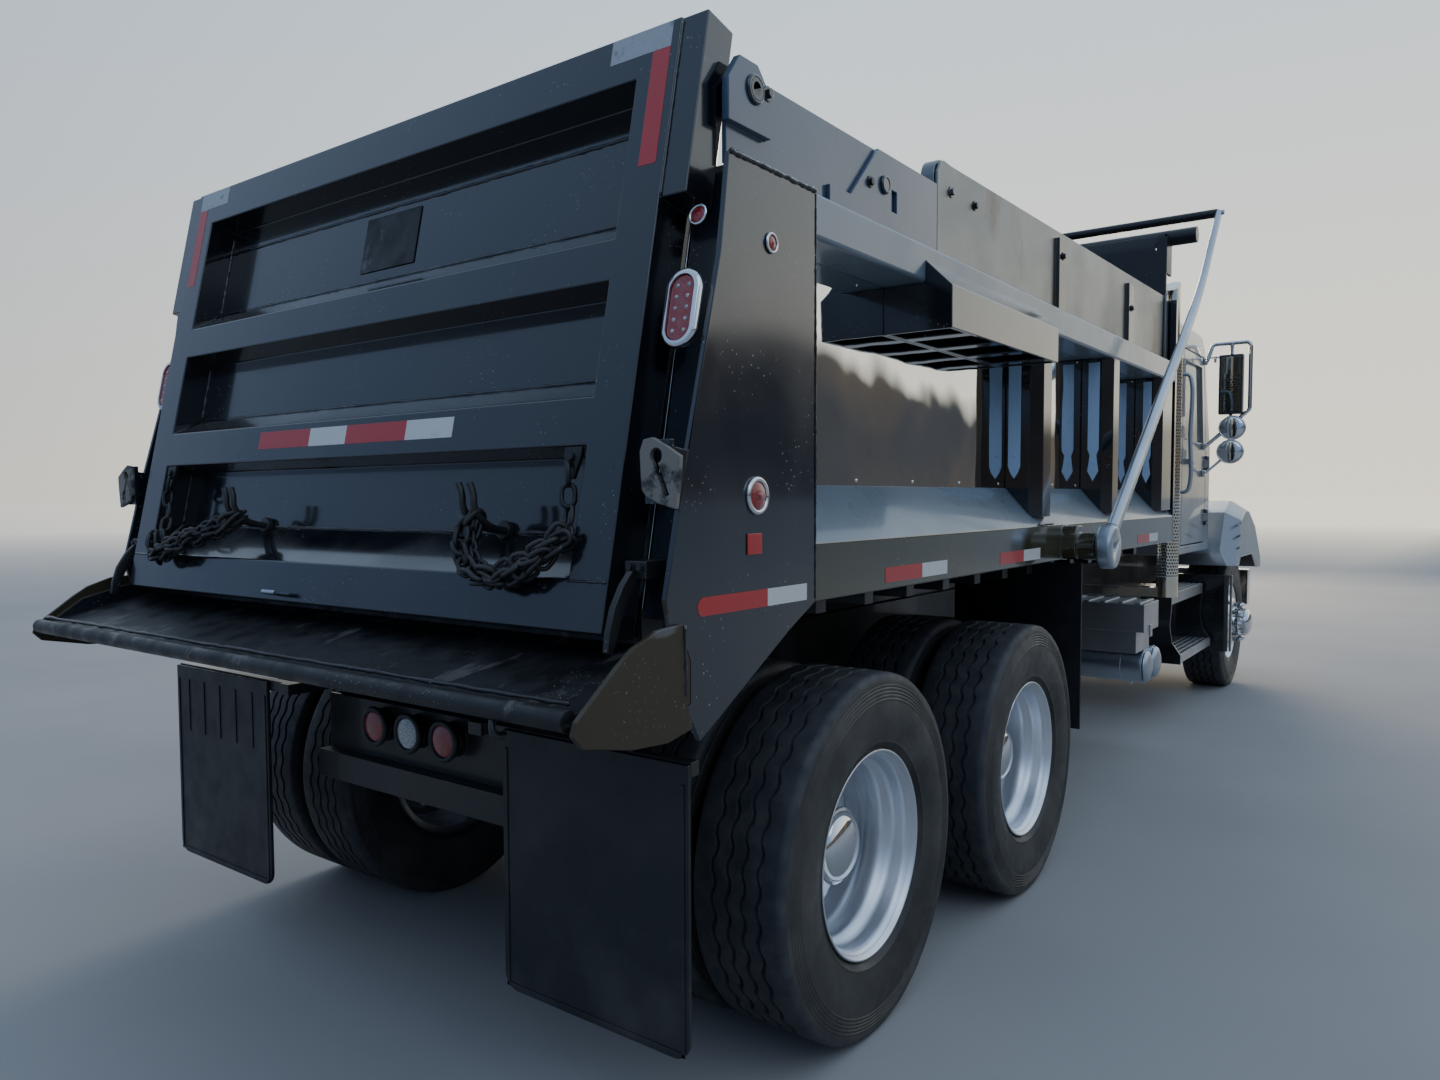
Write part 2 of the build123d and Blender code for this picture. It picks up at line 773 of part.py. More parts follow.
def rear_lamp_bar():
    """The plate across the back of the frame with three round lamps."""
    face = frame_rear - seat_gap
    plate = box(face - 14, face, -lamp_bar_half, lamp_bar_half, lamp_bar_low + 90, lamp_bar_high)
    plate += box(face - 60, face, -lamp_bar_half, lamp_bar_half, lamp_bar_low, lamp_bar_low + 90)
    for index in (-1, 0, 1):
        plate += rod((face - 40, index * rear_lamp_pitch, rear_lamp_z),
                     (face - 10, index * rear_lamp_pitch, rear_lamp_z), rear_lamp_radius)
    return plate


def front_bumper():
    bumper = box(bumper_rear, bumper_front, -bumper_half, bumper_half, bumper_low, bumper_high)
    bumper = fillet(bumper.edges().filter_by(Axis.Z).group_by(Axis.X)[-1], 80)
    bumper -= box(bumper_rear - 1, bumper_front - bumper_wall, -bumper_half + 90, bumper_half - 90,
                  bumper_low + bumper_wall, bumper_high - bumper_wall)
    low = frame_top - frame_depth
    for side in (1, -1):
        bumper -= box(bumper_rear - 1, hood_pivot_x + 50, side * (hood_pivot_y - 40),
                      side * (hood_pivot_y + 35),
                      bumper_high - 60, bumper_high + 1)
        y = side * tow_pin_y
        pin_x = bumper_front + tow_pin_reach
        y0 = side * (tow_pin_y - 60)
        y1 = side * (tow_pin_y + 30)
        bumper += box(frame_front + seat_gap, bumper_front - bumper_wall + 1, y0, y1, bumper_low + 30,
                      low - 60)
        for z in (tow_low, tow_high - tow_ear):
            ear = box(bumper_front - 5, bumper_front + tow_eye_length, y - tow_ear_half, y + tow_ear_half,
                      z, z + tow_ear)
            bumper += ear - upright(pin_x, y, tow_bore_radius, z - 1, z + tow_ear + 1)
        bumper += box(frame_front + seat_gap, frame_front + 45, y0, y1, bumper_low + 30, low + 90)
    return bumper


# Cab and hood

def cab_outline(inset):
    w = inset
    return [
        (cab_rear + w, cab_low + w), (cab_front - w, cab_low + w), (cab_front - w, cab_waist),
        (screen_top_x - w * 0.8, screen_top_z - w * 0.5), (screen_top_x - 150, cab_high - w),
        (cab_rear + 110, cab_high - w), (cab_rear + w, cab_high - 130),
    ]


def door_outline(inset):
    w = inset
    return [
        (door_rear + w, door_low + w), (door_front - w, door_low + w), (door_front - w, cab_waist),
        (door_front - door_slant - w, door_high - w), (door_rear + w, door_high - w),
    ]


def window_outline(inset):
    w = inset
    return [
        (door_rear + frame_bar + w, window_low + w), (door_front - frame_bar - 30 - w, window_low + w),
        (door_front - door_slant - frame_bar - w, window_high - w),
        (door_rear + frame_bar + w, window_high - w),
    ]


def screen_cut(inset, x0, x1):
    half = cab_half - 130 - inset
    return cross_plate([(-half, window_low + 40 + inset), (half, window_low + 40 + inset),
                        (half - 60, screen_top_z - 60 - inset), (60 - half, screen_top_z - 60 - inset)],
                       x0, x1)


def rear_cut(inset):
    return box(cab_rear - 100, cab_rear + 200, -420 + inset, 420 - inset, 2040 + inset, 2440 - inset)


def cab_shell():
    """The cab's walls, roof and floor, hollow, with the door and window openings cut."""
    shell = side_plate(cab_outline(0), -cab_half, cab_half)
    edges = shell.edges().filter_by(Axis.X).group_by(Axis.Z)[-1]
    shell = fillet(edges, 60)
    shell -= side_plate(cab_outline(cab_wall), -cab_half + cab_wall, cab_half - cab_wall)
    for side in (1, -1):
        shell -= side_plate(door_outline(0), side * (cab_half - cab_wall - 1), side * (cab_half + 1))
        for z in hinge_heights:
            shell += cab_hinge(side, z)
    shell -= screen_cut(0, screen_top_x - 120, cab_front + 100)
    shell -= rear_cut(0)
    for x in (cab_rear + 60, cab_front - 160):
        shell += box(x, x + 80, -frame_half + 8, frame_half - 8, frame_top + seat_gap, cab_low + 1)
    return shell


def cab_glass():
    """The windscreen, set in the slanted front wall, and the rear window."""
    outer = cab_outline((cab_wall - glass_thickness) / 2)
    inner = cab_outline((cab_wall + glass_thickness) / 2)
    band = side_plate([outer[2], outer[3], inner[3], inner[2]], -cab_half, cab_half)
    screen = band & screen_cut(seat_gap, screen_top_x - 120, cab_front + 100)
    middle = cab_rear + cab_wall / 2
    back = box(middle - glass_thickness / 2, middle + glass_thickness / 2, -cab_half, cab_half, 1900, 2500)
    return [screen, back & rear_cut(seat_gap)]


def cab_interior():
    """Two seats, the dash and the steering wheel, on the cab floor."""
    floor = cab_low + cab_wall + seat_gap
    pieces = []
    for side in (1, -1):
        y = side * seat_y
        seat = box(seat_x, seat_x + 480, y - 240, y + 240, floor + 300, floor + 430)
        back = side_plate([(seat_x - 110, floor + 1050), (seat_x + 10, floor + 1050),
                           (seat_x + 110, floor + 380), (seat_x, floor + 340)], y - 235, y + 235)
        post = box(seat_x + 110, seat_x + 370, y - 130, y + 130, floor, floor + 301)
        pieces.append(seat + back + post)
    front = cab_front - cab_wall - seat_gap
    half = cab_half - cab_wall - 20
    dash = side_plate([(front - 330, 1560), (front, 1500), (front, 1850), (front - 120, 1880),
                       (front - 300, 1800)], -half, half)
    column = rod((front - 250, seat_y, 1720), (front - 470, seat_y, 1800), 28)
    tilt = Plane(origin=(front - 470, seat_y, 1800), z_dir=(-0.94, 0, 0.34))
    wheel = tilt * Torus(215, 15)
    spokes = tilt * Box(420, 34, 12)
    pieces.append(dash + column + wheel + spokes)
    return pieces


def hinge_axis(side):
    return door_front - 2, side * (cab_half + 16)


def upright(x, y, radius, z0, z1):
    """A round bar along Z."""
    return Pos(x, y, (z0 + z1) / 2) * Cylinder(radius, z1 - z0)


def cab_hinge(side, z):
    """The pillar's half of a door hinge: two knuckles and the pin."""
    x, y = hinge_axis(side)
    part = upright(x, y, hinge_pin_radius, z - 2 * hinge_half, z + 2 * hinge_half)
    for z0, z1 in ((z - 2 * hinge_half, z - hinge_half - 3), (z + hinge_half + 3, z + 2 * hinge_half)):
        part += upright(x, y, hinge_radius, z0, z1)
        part += box(x, x + 50, side * (cab_half - 1), side * (cab_half + 14), z0, z1)
    return part


def door_hinge(side, z):
    """The door's half of a hinge: the middle knuckle."""
    x, y = hinge_axis(side)
    part = upright(x, y, hinge_radius, z - hinge_half, z + hinge_half)
    part += box(x - 60, x, side * (cab_half - 1), side * (cab_half + 14), z - hinge_half, z + hinge_half)
    return part - upright(x, y, hinge_pin_radius + pin_gap, z - hinge_half - 1, z + hinge_half + 1)


def door(side):
    """A door as thick as the wall, its window cut, hung on a pin at its front edge."""
    y0 = side * (cab_half - cab_wall)
    y1 = side * cab_half
    leaf = side_plate(door_outline(door_gap), y0, y1)
    leaf -= side_plate(window_outline(0), y0 - side, y1 + side)
    leaf += box(door_rear + 90, door_rear + 250, y1 - side, y1 + side * 28, 1760, 1800)
    for z in hinge_heights:
        leaf += door_hinge(side, z)
    return leaf


def door_glass(side):
    middle = side * (cab_half - cab_wall / 2)
    return side_plate(window_outline(seat_gap), middle - glass_thickness / 2, middle + glass_thickness / 2)


def mirror_set(side):
    """A tall mirror head and two round ones on a tube loop carried by the door."""
    x = mirror_x
    face = side * (cab_half + 20)
    out = side * (cab_half + mirror_loop_reach)
    top = mirror_high + 85
    foot_high, foot_low, foot_brace = mirror_feet
    body = bent_bar([(x, face, foot_high), (x, side * (cab_half + 60), top), (x, out, top),
                     (x, out, mirror_low + 30), (x, face, foot_low)], mirror_tube_radius, 30)
    inner = side * (cab_half + mirror_gap)
    outer = inner + side * mirror_width
    body += box(x - mirror_depth / 2, x + mirror_depth / 2, inner, outer, mirror_low, mirror_high)
    middle = (inner + outer) / 2
    body += upright(x, middle, 12, mirror_high - 2, top)
    body += upright(x, middle, 10, round_mirrors[0][1], mirror_low + 2)
    for z in mirror_feet:
        body += box(x - 22, x + 22, side * (cab_half + seat_gap), side * (cab_half + 26), z - 25, z + 25)
    for reach, z in round_mirrors:
        y = side * (cab_half + reach)
        body += rod((x - 40, y, z), (x - 6, y, z), round_mirror_radius)
    return body + rod((x, face, foot_brace), (x, y, z), 9)


def fender_outline(inset, low_rear, low_front):
    w = inset
    return [
        (fender_rear + w, low_rear), (fender_rear + 20 + w, low_rear + 120),
        (fender_rear + 170 + w, fender_crest - 90 - w), (fender_rear + 420, fender_crest - w),
        (front_axle_x + 80, fender_crest - 10 - w),
        (front_axle_x + 420 - w * 0.7, fender_crest - 140 - w * 0.8),
        (fender_front - 60 - w, low_front + 220), (fender_front - w, low_front),
        (fender_front - 120, low_front), (front_axle_x + 340, low_front + 130),
        (front_axle_x - 300, low_rear + 60), (fender_rear + 160, low_rear),
    ]


def fender(side):
    y0 = side * fender_inner
    y1 = side * fender_outer
    skin = side_plate(fender_outline(0, fender_low_rear, fender_low_front), y0, y1)
    outer_edges = skin.edges().filter_by(lambda e: abs(e.center().Y - y1) < 1 and e.center().Z > 1180)
    skin = chamfer(outer_edges, fender_round, fender_round * 0.7)
    w = hood_wall
    hollow = side_plate([
        (fender_rear + w, fender_low_rear - 400), (fender_rear + 20 + w, fender_low_rear + 120),
        (fender_rear + 170 + w, fender_crest - 90 - w), (fender_rear + 420, fender_crest - w),
        (front_axle_x + 80, fender_crest - 10 - w), (front_axle_x + 400, fender_crest - 160 - w),
        (fender_front - 60 - w, fender_low_front + 220), (fender_front - w - 4, fender_low_front - 400)],
        y0 - side * 10, side * (fender_outer - w))
    top = hollow.edges().filter_by(lambda e: abs(e.center().Y - side * (fender_outer - w)) < 1
                                   and e.center().Z > 1180)
    hollow = chamfer(top, fender_round - w * 0.6, fender_round * 0.7 - w * 0.2)
    return skin - hollow


def hood_section(x, half, high, inset):
    """A half-round topped cross-section of the hood."""
    w = inset
    side_top = high - 230
    outline = [(-half + w, hood_low), (half - w, hood_low), (half - 40 - w, side_top),
               (half - 210, high - w),
               (210 - half, high - w), (40 + w - half, side_top)]
    return Pos(x, 0, 0) * (Plane.YZ * Polygon(*outline, align=None))


def hood_shell():
    """The hood and both fenders in one shell, open below and behind, with the grille cut out."""
    outer = loft([hood_section(hood_rear, hood_half_rear, hood_high_rear, 0),
                  hood_section(hood_front, hood_half_front, hood_high_front, 0)])
    inner = loft([hood_section(hood_rear, hood_half_rear, hood_high_rear, hood_wall),
                  hood_section(hood_front, hood_half_front, hood_high_front, hood_wall)])
    inner = Pos(-hood_wall, 0, 0) * inner
    below = box(hood_rear - 50, hood_front - hood_wall, -hood_half_front + hood_wall,
                hood_half_front - hood_wall, hood_low - 50, hood_low + 60)
    behind = box(hood_rear - 50, hood_rear + 30, -fender_inner + 60, fender_inner - 60,
                 hood_low - 50, hood_high_rear - 240)
    shell = outer - inner - below - behind
    for side in (1, -1):
        shell += fender(side)
    shell -= inner
    shell -= box(hood_front - 100, hood_front + 50, -grille_half, grille_half, grille_low, grille_high)
    for side in (1, -1):
        shell -= box(front_axle_x - arch_half, front_axle_x + arch_half, side * (hood_half_front - 100),
                     side * (hood_half_rear + hood_wall), hood_low - 10, 2 * tyre_radius + arch_gap)
        y = side * headlamp_y
        shell -= box(fender_front - 200, fender_front + 60, y - headlamp_half, y + headlamp_half,
                     headlamp_z - headlamp_height / 2, headlamp_z + headlamp_height / 2)
        y0 = side * (hood_pivot_y + 2)
        y1 = side * (hood_pivot_y + 18)
        shell += side_plate([(hood_front - hood_wall + 1, hood_low), (hood_pivot_x + 20, hood_pivot_z - 20),
                             (hood_pivot_x + 20, hood_pivot_z + 20),
                             (hood_front - hood_wall + 1, hood_low + 50)],
                            y0, y1)
        shell += across(hood_pivot_x, hood_pivot_z, hood_pin_radius, side * (hood_pivot_y - 20), y1)
    return shell


def grille():
    """A frame with upright bars in the hood's front opening."""
    gap = seat_gap
    x0 = hood_front - hood_wall + 2
    x1 = hood_front + 12
    half = grille_half - gap
    surround = box(x0, x1, -half, half, grille_low + gap, grille_high - gap)
    surround -= box(x0 - 1, x1 + 1, -half + 26, half - 26, grille_low + 30, grille_high - 30)
    pitch = (2 * half - 52) / (grille_bars + 1)
    for index in range(grille_bars):
        y = -half + 26 + pitch * (index + 1)
        surround += box(x0 + 4, x1 - 4, y - 6, y + 6, grille_low + 20, grille_high - 20)
    return surround


def headlamps():
    pieces = []
    for side in (1, -1):
        y = side * headlamp_y
        lamp = box(fender_front - 150, fender_front - 150 + headlamp_depth, y - headlamp_half + seat_gap,
                   y + headlamp_half - seat_gap, headlamp_z - headlamp_height / 2 + seat_gap,
                   headlamp_z + headlamp_height / 2 - seat_gap)
        lamp = fillet(lamp.edges().filter_by(Axis.X), 30)
        pieces.append(lamp)
    return pieces


def radiator():
    return box(radiator_x, radiator_x + radiator_depth, -radiator_half, radiator_half, radiator_low,
               radiator_high)


# Bed

def gate_x(z):
    """Where the tailgate's outer plane stands at a height."""
    return gate_top_x - (gate_top_z - z) * lean_tan


def wall_end(z):
    """Where the bed's walls end behind, clear of the tailgate's inner face."""
    return gate_x(z) + (gate_depth + gate_clearance) / lean_cos


def bed_floor():
    plate = box(wall_end(floor_top) + 14, wall_front, -bed_inner_half, bed_inner_half,
                floor_top - floor_thickness, floor_top)
    rear = box(wall_end(floor_top) + 14, wall_end(floor_top) + 90, -bed_inner_half, bed_inner_half,
               cross_sill_low, floor_top - floor_thickness)
    return plate + rear


def side_sheets():
    y0 = bed_inner_half + seat_gap
    y1 = y0 + sheet_thickness
    low = skirt_low + 20
    outline = [(wall_end(low), low), (wall_front, low), (wall_front, rail_top - 5),
               (wall_end(rail_top - 5), rail_top - 5)]
    return pair(side_plate(outline, y0, y1))


def lower_rails():
    """The sloped rub rail that runs from the rear corner to the front wall."""
    inner = bed_inner_half + sheet_thickness + 2 * seat_gap
    outline = [(inner, skirt_low), (bed_half, skirt_low), (bed_half, skirt_high), (inner, skirt_slope_top)]
    return pair(cross_plate(outline, seam_x + seat_gap, wall_front) + tarp_pivot())


def top_rails():
    inner = bed_inner_half + sheet_thickness + 2 * seat_gap
    rail = box(seam_x + seat_gap, wall_front, inner, bed_half, rail_low, rail_top)
    rail = fillet(rail.edges().filter_by(Axis.X).group_by(Axis.Y)[-1], 12)
    return pair(rail)


def side_posts():
    """Tapered posts between the top rail and the sloped rub rail."""
    inner = bed_inner_half + sheet_thickness + 2 * seat_gap
    pieces = []
    for index, x in enumerate(post_xs):
        half = post_half if index < len(post_xs) - 1 else post_front_half
        slope = (skirt_slope_top - skirt_high) / (bed_half - inner)
        post = box(x - half, x + half, inner, bed_half, post_low, rail_low - seat_gap)
        wedge = cross_plate([(inner - 5, skirt_slope_top + 5 * slope + seat_gap),
                             (bed_half + 5, skirt_high - 5 * slope + seat_gap),
                             (bed_half + 5, skirt_high - 200), (inner - 5, skirt_high - 200)],
                            x - half - 1, x + half + 1)
        post -= wedge
        outer_edges = post.edges().filter_by(Axis.Z).filter_by(lambda e: abs(e.center().Y - bed_half) < 1)
        post = chamfer(outer_edges, post_chamfer)
        pieces += pair(post)
    return pieces


def front_wall():
    x0 = wall_front + seat_gap
    x1 = x0 + front_wall_thickness
    wall = box(x0, x1, -bed_half, bed_half, skirt_low, front_wall_high)
    for y in (-800, 800):
        wall += box(x1 - 1, x1 + 50, y - 50, y + 50, skirt_low + 40, front_wall_high - 60)
    for side in (1, -1):
        wall += hoist_ear(side, x1)
    return wall


def hoist_ear(side, x1):
    """One cheek of the bracket that takes the hoist's upper eye, with its stub pin."""
    y0 = side * 74
    y1 = side * 104
    outline = [(x1 - 1, hoist_eye_z + 190), (x1 - 1, hoist_eye_z - 190),
               (hoist_eye_x + 60, hoist_eye_z - 60),
               (hoist_eye_x + 60, hoist_eye_z + 60)]
    cheek = side_plate(outline, y0, y1)
    return cheek + across(hoist_eye_x, hoist_eye_z, hoist_pin_radius, side * 40, side * 76)


def bed_sills():
    """Two long sills on the frame, the cross sills over them, and the hinge pins at the rear."""
    low = frame_top + seat_gap + (sill_low - frame_top)
    rear = bed_pivot_x - 60
    front = wall_front - 20
    top = floor_top - floor_thickness - seat_gap
    sills = None
    for side in (1, -1):
        long_sill = box(bed_pivot_x + 110, front, side * (sill_half - sill_width / 2),
                        side * (sill_half + sill_width / 2), low, cross_sill_low + 5)
        sills = long_sill if sills is None else sills + long_sill
        ear_inner = frame_half - frame_flange + 5 + bed_ear + 6
        ear = side_plate([(rear, bed_pivot_z - 20), (bed_pivot_x + 60, bed_pivot_z - 40),
                          (bed_pivot_x + 170, low + 20), (bed_pivot_x + 170, cross_sill_low + 5),
                          (rear, cross_sill_low + 5)], side * ear_inner, side * (ear_inner + bed_ear))
        pin = across(bed_pivot_x, bed_pivot_z, bed_pin_radius, side * (ear_inner - bed_ear - 8),
                     side * (ear_inner + 2))
        sills = sills + ear + pin
    count = int((front - rear) // cross_sill_pitch)
    reach = bed_inner_half - 30
    for index in range(count + 1):
        x = rear + index * cross_sill_pitch
        if x + cross_sill_width < front:
            sills += box(x, x + cross_sill_width, -reach, reach, cross_sill_low, top)
    return sills


def sideboards():
    """Black board and stepped plate at the rear, long metal board ahead of them, with strap brackets."""
    z0 = rail_top + seat_gap
    rear = side_plate([(-690, z0), (-100, z0), (-100, rear_board_high), (-640, rear_board_high),
                       (-690, rear_board_high - 50)], rear_board_inner, board_outer)
    hinge = side_plate([(gate_pin_x - 105, gate_pin_z - 95), (gate_pin_x + 70, gate_pin_z - 95),
                        (gate_pin_x + 70, gate_pin_z + 5), (gate_pin_x + 15, gate_pin_z + 60),
                        (gate_pin_x - 60, gate_pin_z + 60), (gate_pin_x - 105, gate_pin_z)],
                       board_outer - 1, board_outer + 18)
    rear = rear + hinge
    rear -= across(gate_pin_x, gate_pin_z, gate_pin_radius + pin_gap, rear_board_inner - 5, board_outer + 30)
    metal = side_plate([(metal_board_rear, z0), (metal_board_front, z0),
                        (metal_board_front, metal_board_high_front), (2600, metal_board_high_front - 20),
                        (metal_board_rear, metal_board_high_rear)], board_inner, board_outer)
    corner = metal.edges().filter_by(Axis.Y).group_by(Axis.X)[0].sort_by(Axis.Z)[-1]
    metal = fillet(corner, board_round)
    stepped = side_plate([(-235, z0), (metal_board_rear - seat_gap, z0),
                          (metal_board_rear - seat_gap, rear_board_high),
                          (40, rear_board_high), (-120, z0 + 60), (-235, z0 + 60)], board_outer + seat_gap,
                         board_outer + 12)
    stepped -= box(128, 162, board_outer - 5, board_outer + 40, 2365, 2425)
    bar = box(-101, metal_board_rear - seat_gap, rear_board_inner, board_outer, z0, rear_board_high)
    straps = None
    for x in strap_xs:
        strap = box(x - 45, x + 45, board_outer - 1, board_outer + 16, z0, metal_board_high_rear - 10)
        straps = strap if straps is None else straps + strap
    return pair(rear + bar) + pair(stepped) + pair(metal + straps)


def corner_outline():
    rear = [(-750, rail_top), (-782, 2077), (-860, 1792), (-914, 1601), (-980, 1335)]
    return [(seam_x, rail_top)] + rear + [(-931, 1128), (-865, 1020), (-500, 1220), (seam_x, skirt_low)]


def corner_posts():
    """Rear corner posts with their wing plates and the bracket plates for the chains."""
    plate = side_plate(corner_outline(), bed_half - corner_plate, bed_half)
    core_low = skirt_low
    core = side_plate([(seam_x, rail_top), (wall_end(rail_top), rail_top), (wall_end(core_low), core_low),
                       (seam_x, core_low)],
                      corner_inner, bed_half - corner_plate + 1)
    wing = side_plate([(-939, 1282), (-1022, 1277), (-1100, 1250), (-1145, 1221), (-1263, 1134),
                       (-1271, 1108),
                       (-1245, 1081), (-1103, 1051), (-992, 1043), (-906, 1058), (-930, 1125)],
                      bed_half + seat_gap, bed_half + seat_gap + wing_thickness)
    bridge = side_plate([(-1240, 1130), (-1120, 1212), (-930, 1260), (-900, 1200), (-900, 1110),
                         (-990, 1070),
                         (-1200, 1085)], bed_half - corner_plate, bed_half + seat_gap + 1)
    bracket = box(-962, -948, 1150, bed_half - 2, 1530, 1664)
    web = side_plate([(-955, 1540), (-955, 1650), (-880, 1640), (-880, 1560)], bed_half - 20, bed_half - 1)
    slot = box(-980, -930, 1175, 1192, 1560, 1640)
    post = plate + core + bridge + wing + web + (bracket - slot)
    return pair(post)


def rear_apron():
    """The sloping plate behind the tailgate with a pipe along its edge."""
    half = bed_half - corner_plate - 1
    thickness = 12.0
    apron_front = wall_end(floor_top) + 13
    plate = side_plate([(apron_front, apron_high), (apron_rear, apron_low),
                        (apron_rear, apron_low - thickness), (apron_front, apron_high - thickness)],
                       -half, half)
    pipe = across(apron_rear - apron_pipe_inset, apron_low - 8, apron_pipe_radius, -half, half)
    riser = box(wall_end(floor_top), wall_end(floor_top) + 14 - seat_gap, -bed_inner_half, bed_inner_half,
                apron_high - 14, floor_top - 4)
    return plate + pipe + riser


def side_box():
    """A slatted box under a sloping lid, outside the right rail and reaching under it to the sheet."""
    wall = 14.0
    rail = bed_half + seat_gap
    sheet = bed_inner_half + sheet_thickness + 2 * seat_gap
    under = rail_low - seat_gap
    section = [(-rail, side_box_high), (-side_box_outer, side_box_edge), (-side_box_outer, side_box_low),
               (-sheet, side_box_low), (-sheet, under), (-rail, under)]
    cover = cross_plate(section, side_box_rear, side_box_front)
    hollow = [(-rail - wall, side_box_high - wall * 2.4), (-side_box_outer + wall, side_box_edge - wall),
              (-side_box_outer + wall, side_box_low - 5), (-sheet - wall, side_box_low - 5),
              (-sheet - wall, under - wall), (-rail - wall, under - wall)]
    cover -= cross_plate(hollow, side_box_rear + wall, side_box_front - wall)
    pitch = (side_box_front - side_box_rear) / 4
    for index in range(4):
        x = side_box_rear + pitch * (index + 0.5)
        cover += box(x, x + 60, -side_box_outer + 5, -sheet - 5, side_box_low, side_box_low + 12)
    return cover


def tarp_housing():
    """The deflector sheet and roller over the bed's front wall, on two posts."""
    x0 = deflector_x
    z0 = front_wall_high + seat_gap
    outline = [(x0, z0), (x0, deflector_high - 120), (x0 + 40, deflector_high - 40),
               (x0 + 130, deflector_high), (x0 + 130, deflector_high - deflector_thickness),
               (x0 + 46, deflector_high - 40 - deflector_thickness),
               (x0 + deflector_thickness, deflector_high - 125), (x0 + deflector_thickness, z0)]
    housing = side_plate(outline, -deflector_half, deflector_half)
    for side in (1, -1):
        near = deflector_half - 5
        far = deflector_half + deflector_post
        housing += box(x0 - 5, x0 + 20, side * (near + 11), side * far, z0, deflector_high - 60)
        housing += box(x0, x0 + 20, side * near, side * (near + 15), z0, deflector_high - 130)
        housing += box(x0, x0 + 130, side * (far - 14), side * (far + 1), roll_z - roll_plate, roll_z)
    roller = across(roll_x, roll_z - 10, roll_radius, -roll_half, roll_half)
    return housing + roller


def bed_lamps():
    """Stop lamps in the rear channels, and round marker lamps on the corner plates."""
    pieces = []
    for side in (1, -1):
        y = side * stop_lamp_y
        x = wall_end(stop_lamp_low - stop_lamp_half)
        r = stop_lamp_half
        lamp = rod((x, y, stop_lamp_high), (x - 50, y, stop_lamp_high), r)
        lamp += rod((x, y, stop_lamp_low), (x - 50, y, stop_lamp_low), r)
        lamp += box(x - 50, x, y - r, y + r, stop_lamp_low, stop_lamp_high)
        pieces.append(Pos(-seat_gap, 0, 0) * lamp)
        face = side * (bed_half + seat_gap)
        for lamp_x, lamp_z, radius in side_lamps:
            pieces.append(across(lamp_x, lamp_z, radius, face, face + side * 14))
    return pieces


# Tailgate, in its own plane: across, down the slope, and outwards

gate_plane = Plane(origin=(gate_top_x, 0, gate_top_z), x_dir=(0, -1, 0),
                   z_dir=(-lean_cos, 0, math.sin(math.radians(gate_lean))))


def gate_block(u0, u1, v0, v1, w0, w1):
    """A block in the tailgate's plane."""
    block = Pos((u0 + u1) / 2, -(v0 + v1) / 2, (w0 + w1) / 2) * Box(abs(u1 - u0), abs(v1 - v0), abs(w1 - w0))
    return gate_plane * block


def gate_rib(v_top, v_face, v_low):
    """A rib across the skin with a sloping top and an upright outer face."""
    base = -gate_recess - 1
    face = Polygon((base, v_top), (0, v_face), (0, v_low), (base, v_low + 4), align=None)
    profile = Plane(origin=(0, 0, 0), x_dir=(0, 0, 1), z_dir=(1, 0, 0)) * face
    half = gate_open_half + 1
    bar = extrude(Pos(-half, 0, 0) * profile, amount=2 * half, dir=(1, 0, 0))
    return gate_plane * bar


def tailgate():
    """A boxed frame round a recessed skin, three ribs, side caps and the hinge lugs."""
    frame = gate_block(-gate_half, gate_half, 0, gate_length, -gate_depth, 0)
    sill = gate_length - gate_sill
    for w0, w1 in ((-gate_recess, 5), (-gate_depth - 5, -gate_recess - gate_skin)):
        frame -= gate_block(-gate_open_half, gate_open_half, gate_open_top, sill, w0, w1)
    for v_top, v_face, v_low in rib_rows + ((sill - 115, sill, sill + 5),):
        frame += gate_rib(v_top, v_face, v_low)
    for side in (1, -1):
        cap = gate_block(side * (gate_half - 2), side * cap_outer, 0, cap_length, -cap_front, -6)
        lug = side_plate([(gate_pin_x - 20, gate_pin_z + 45), (gate_pin_x + 40, gate_pin_z + 20),
                          (gate_pin_x + 45, gate_pin_z - 25), (gate_pin_x - 10, gate_pin_z - 55),
                          (gate_pin_x - 95, gate_pin_z - 60), (gate_pin_x - 95, gate_pin_z + 60)],
                         side * gate_half, side * cap_outer)
        pin = across(gate_pin_x, gate_pin_z, gate_pin_radius, side * (gate_half + 20),
                     side * (board_outer + 26))
        frame = frame + cap + lug + pin
    return frame


def chain_run(points):
    """Fat links along a path over the tailgate, each turned a quarter from the last."""
    path = Polyline(*[(u, -v) for u, v in points])
    count = round(path.length / chain_pitch)
    links = None
    for index in range(count):
        share = (index + 0.5) / count
        place = path @ share
        along = path % share
        turn = math.degrees(math.atan2(along.Y, along.X))
        link = Rot(90 * (index % 2), 0, 0) * Box(chain_pitch + chain_wire, chain_width, chain_wire)
        link = gate_plane * (Pos(place.X, place.Y, chain_off) * (Rot(0, 0, turn) * link))
        links = link if links is None else links + link
    return links


def tailgate_chains():
    """Chains stowed on the outer face, each hung over a horn and held by a lug under the second rib."""
    groups = []
    root = seat_gap - gate_recess
    lug_top = rib_rows[1][2] + 6
    for side, rises in zip((1, -1), chain_paths):
        path = [(u, gate_length - rise) for u, rise in rises]
        u = side * chain_lug_across
        chain = chain_run(path + [(u, lug_top + 50)])
        horn_u, horn_v = path[0]
        chain += gate_block(horn_u - horn_half, horn_u + horn_half, horn_v - 75, horn_v, root,
                            chain_off + horn_half)
        chain += gate_block(u - 22, u + 22, lug_top, lug_top + 70, -12, 0)
        chain += gate_block(u - 8, u + 8, lug_top, lug_top + 16, root, -11)
        chain += gate_block(u - 8, u + 8, lug_top + 30, lug_top + 60, -5, chain_off)
        groups.append(chain)
    return groups


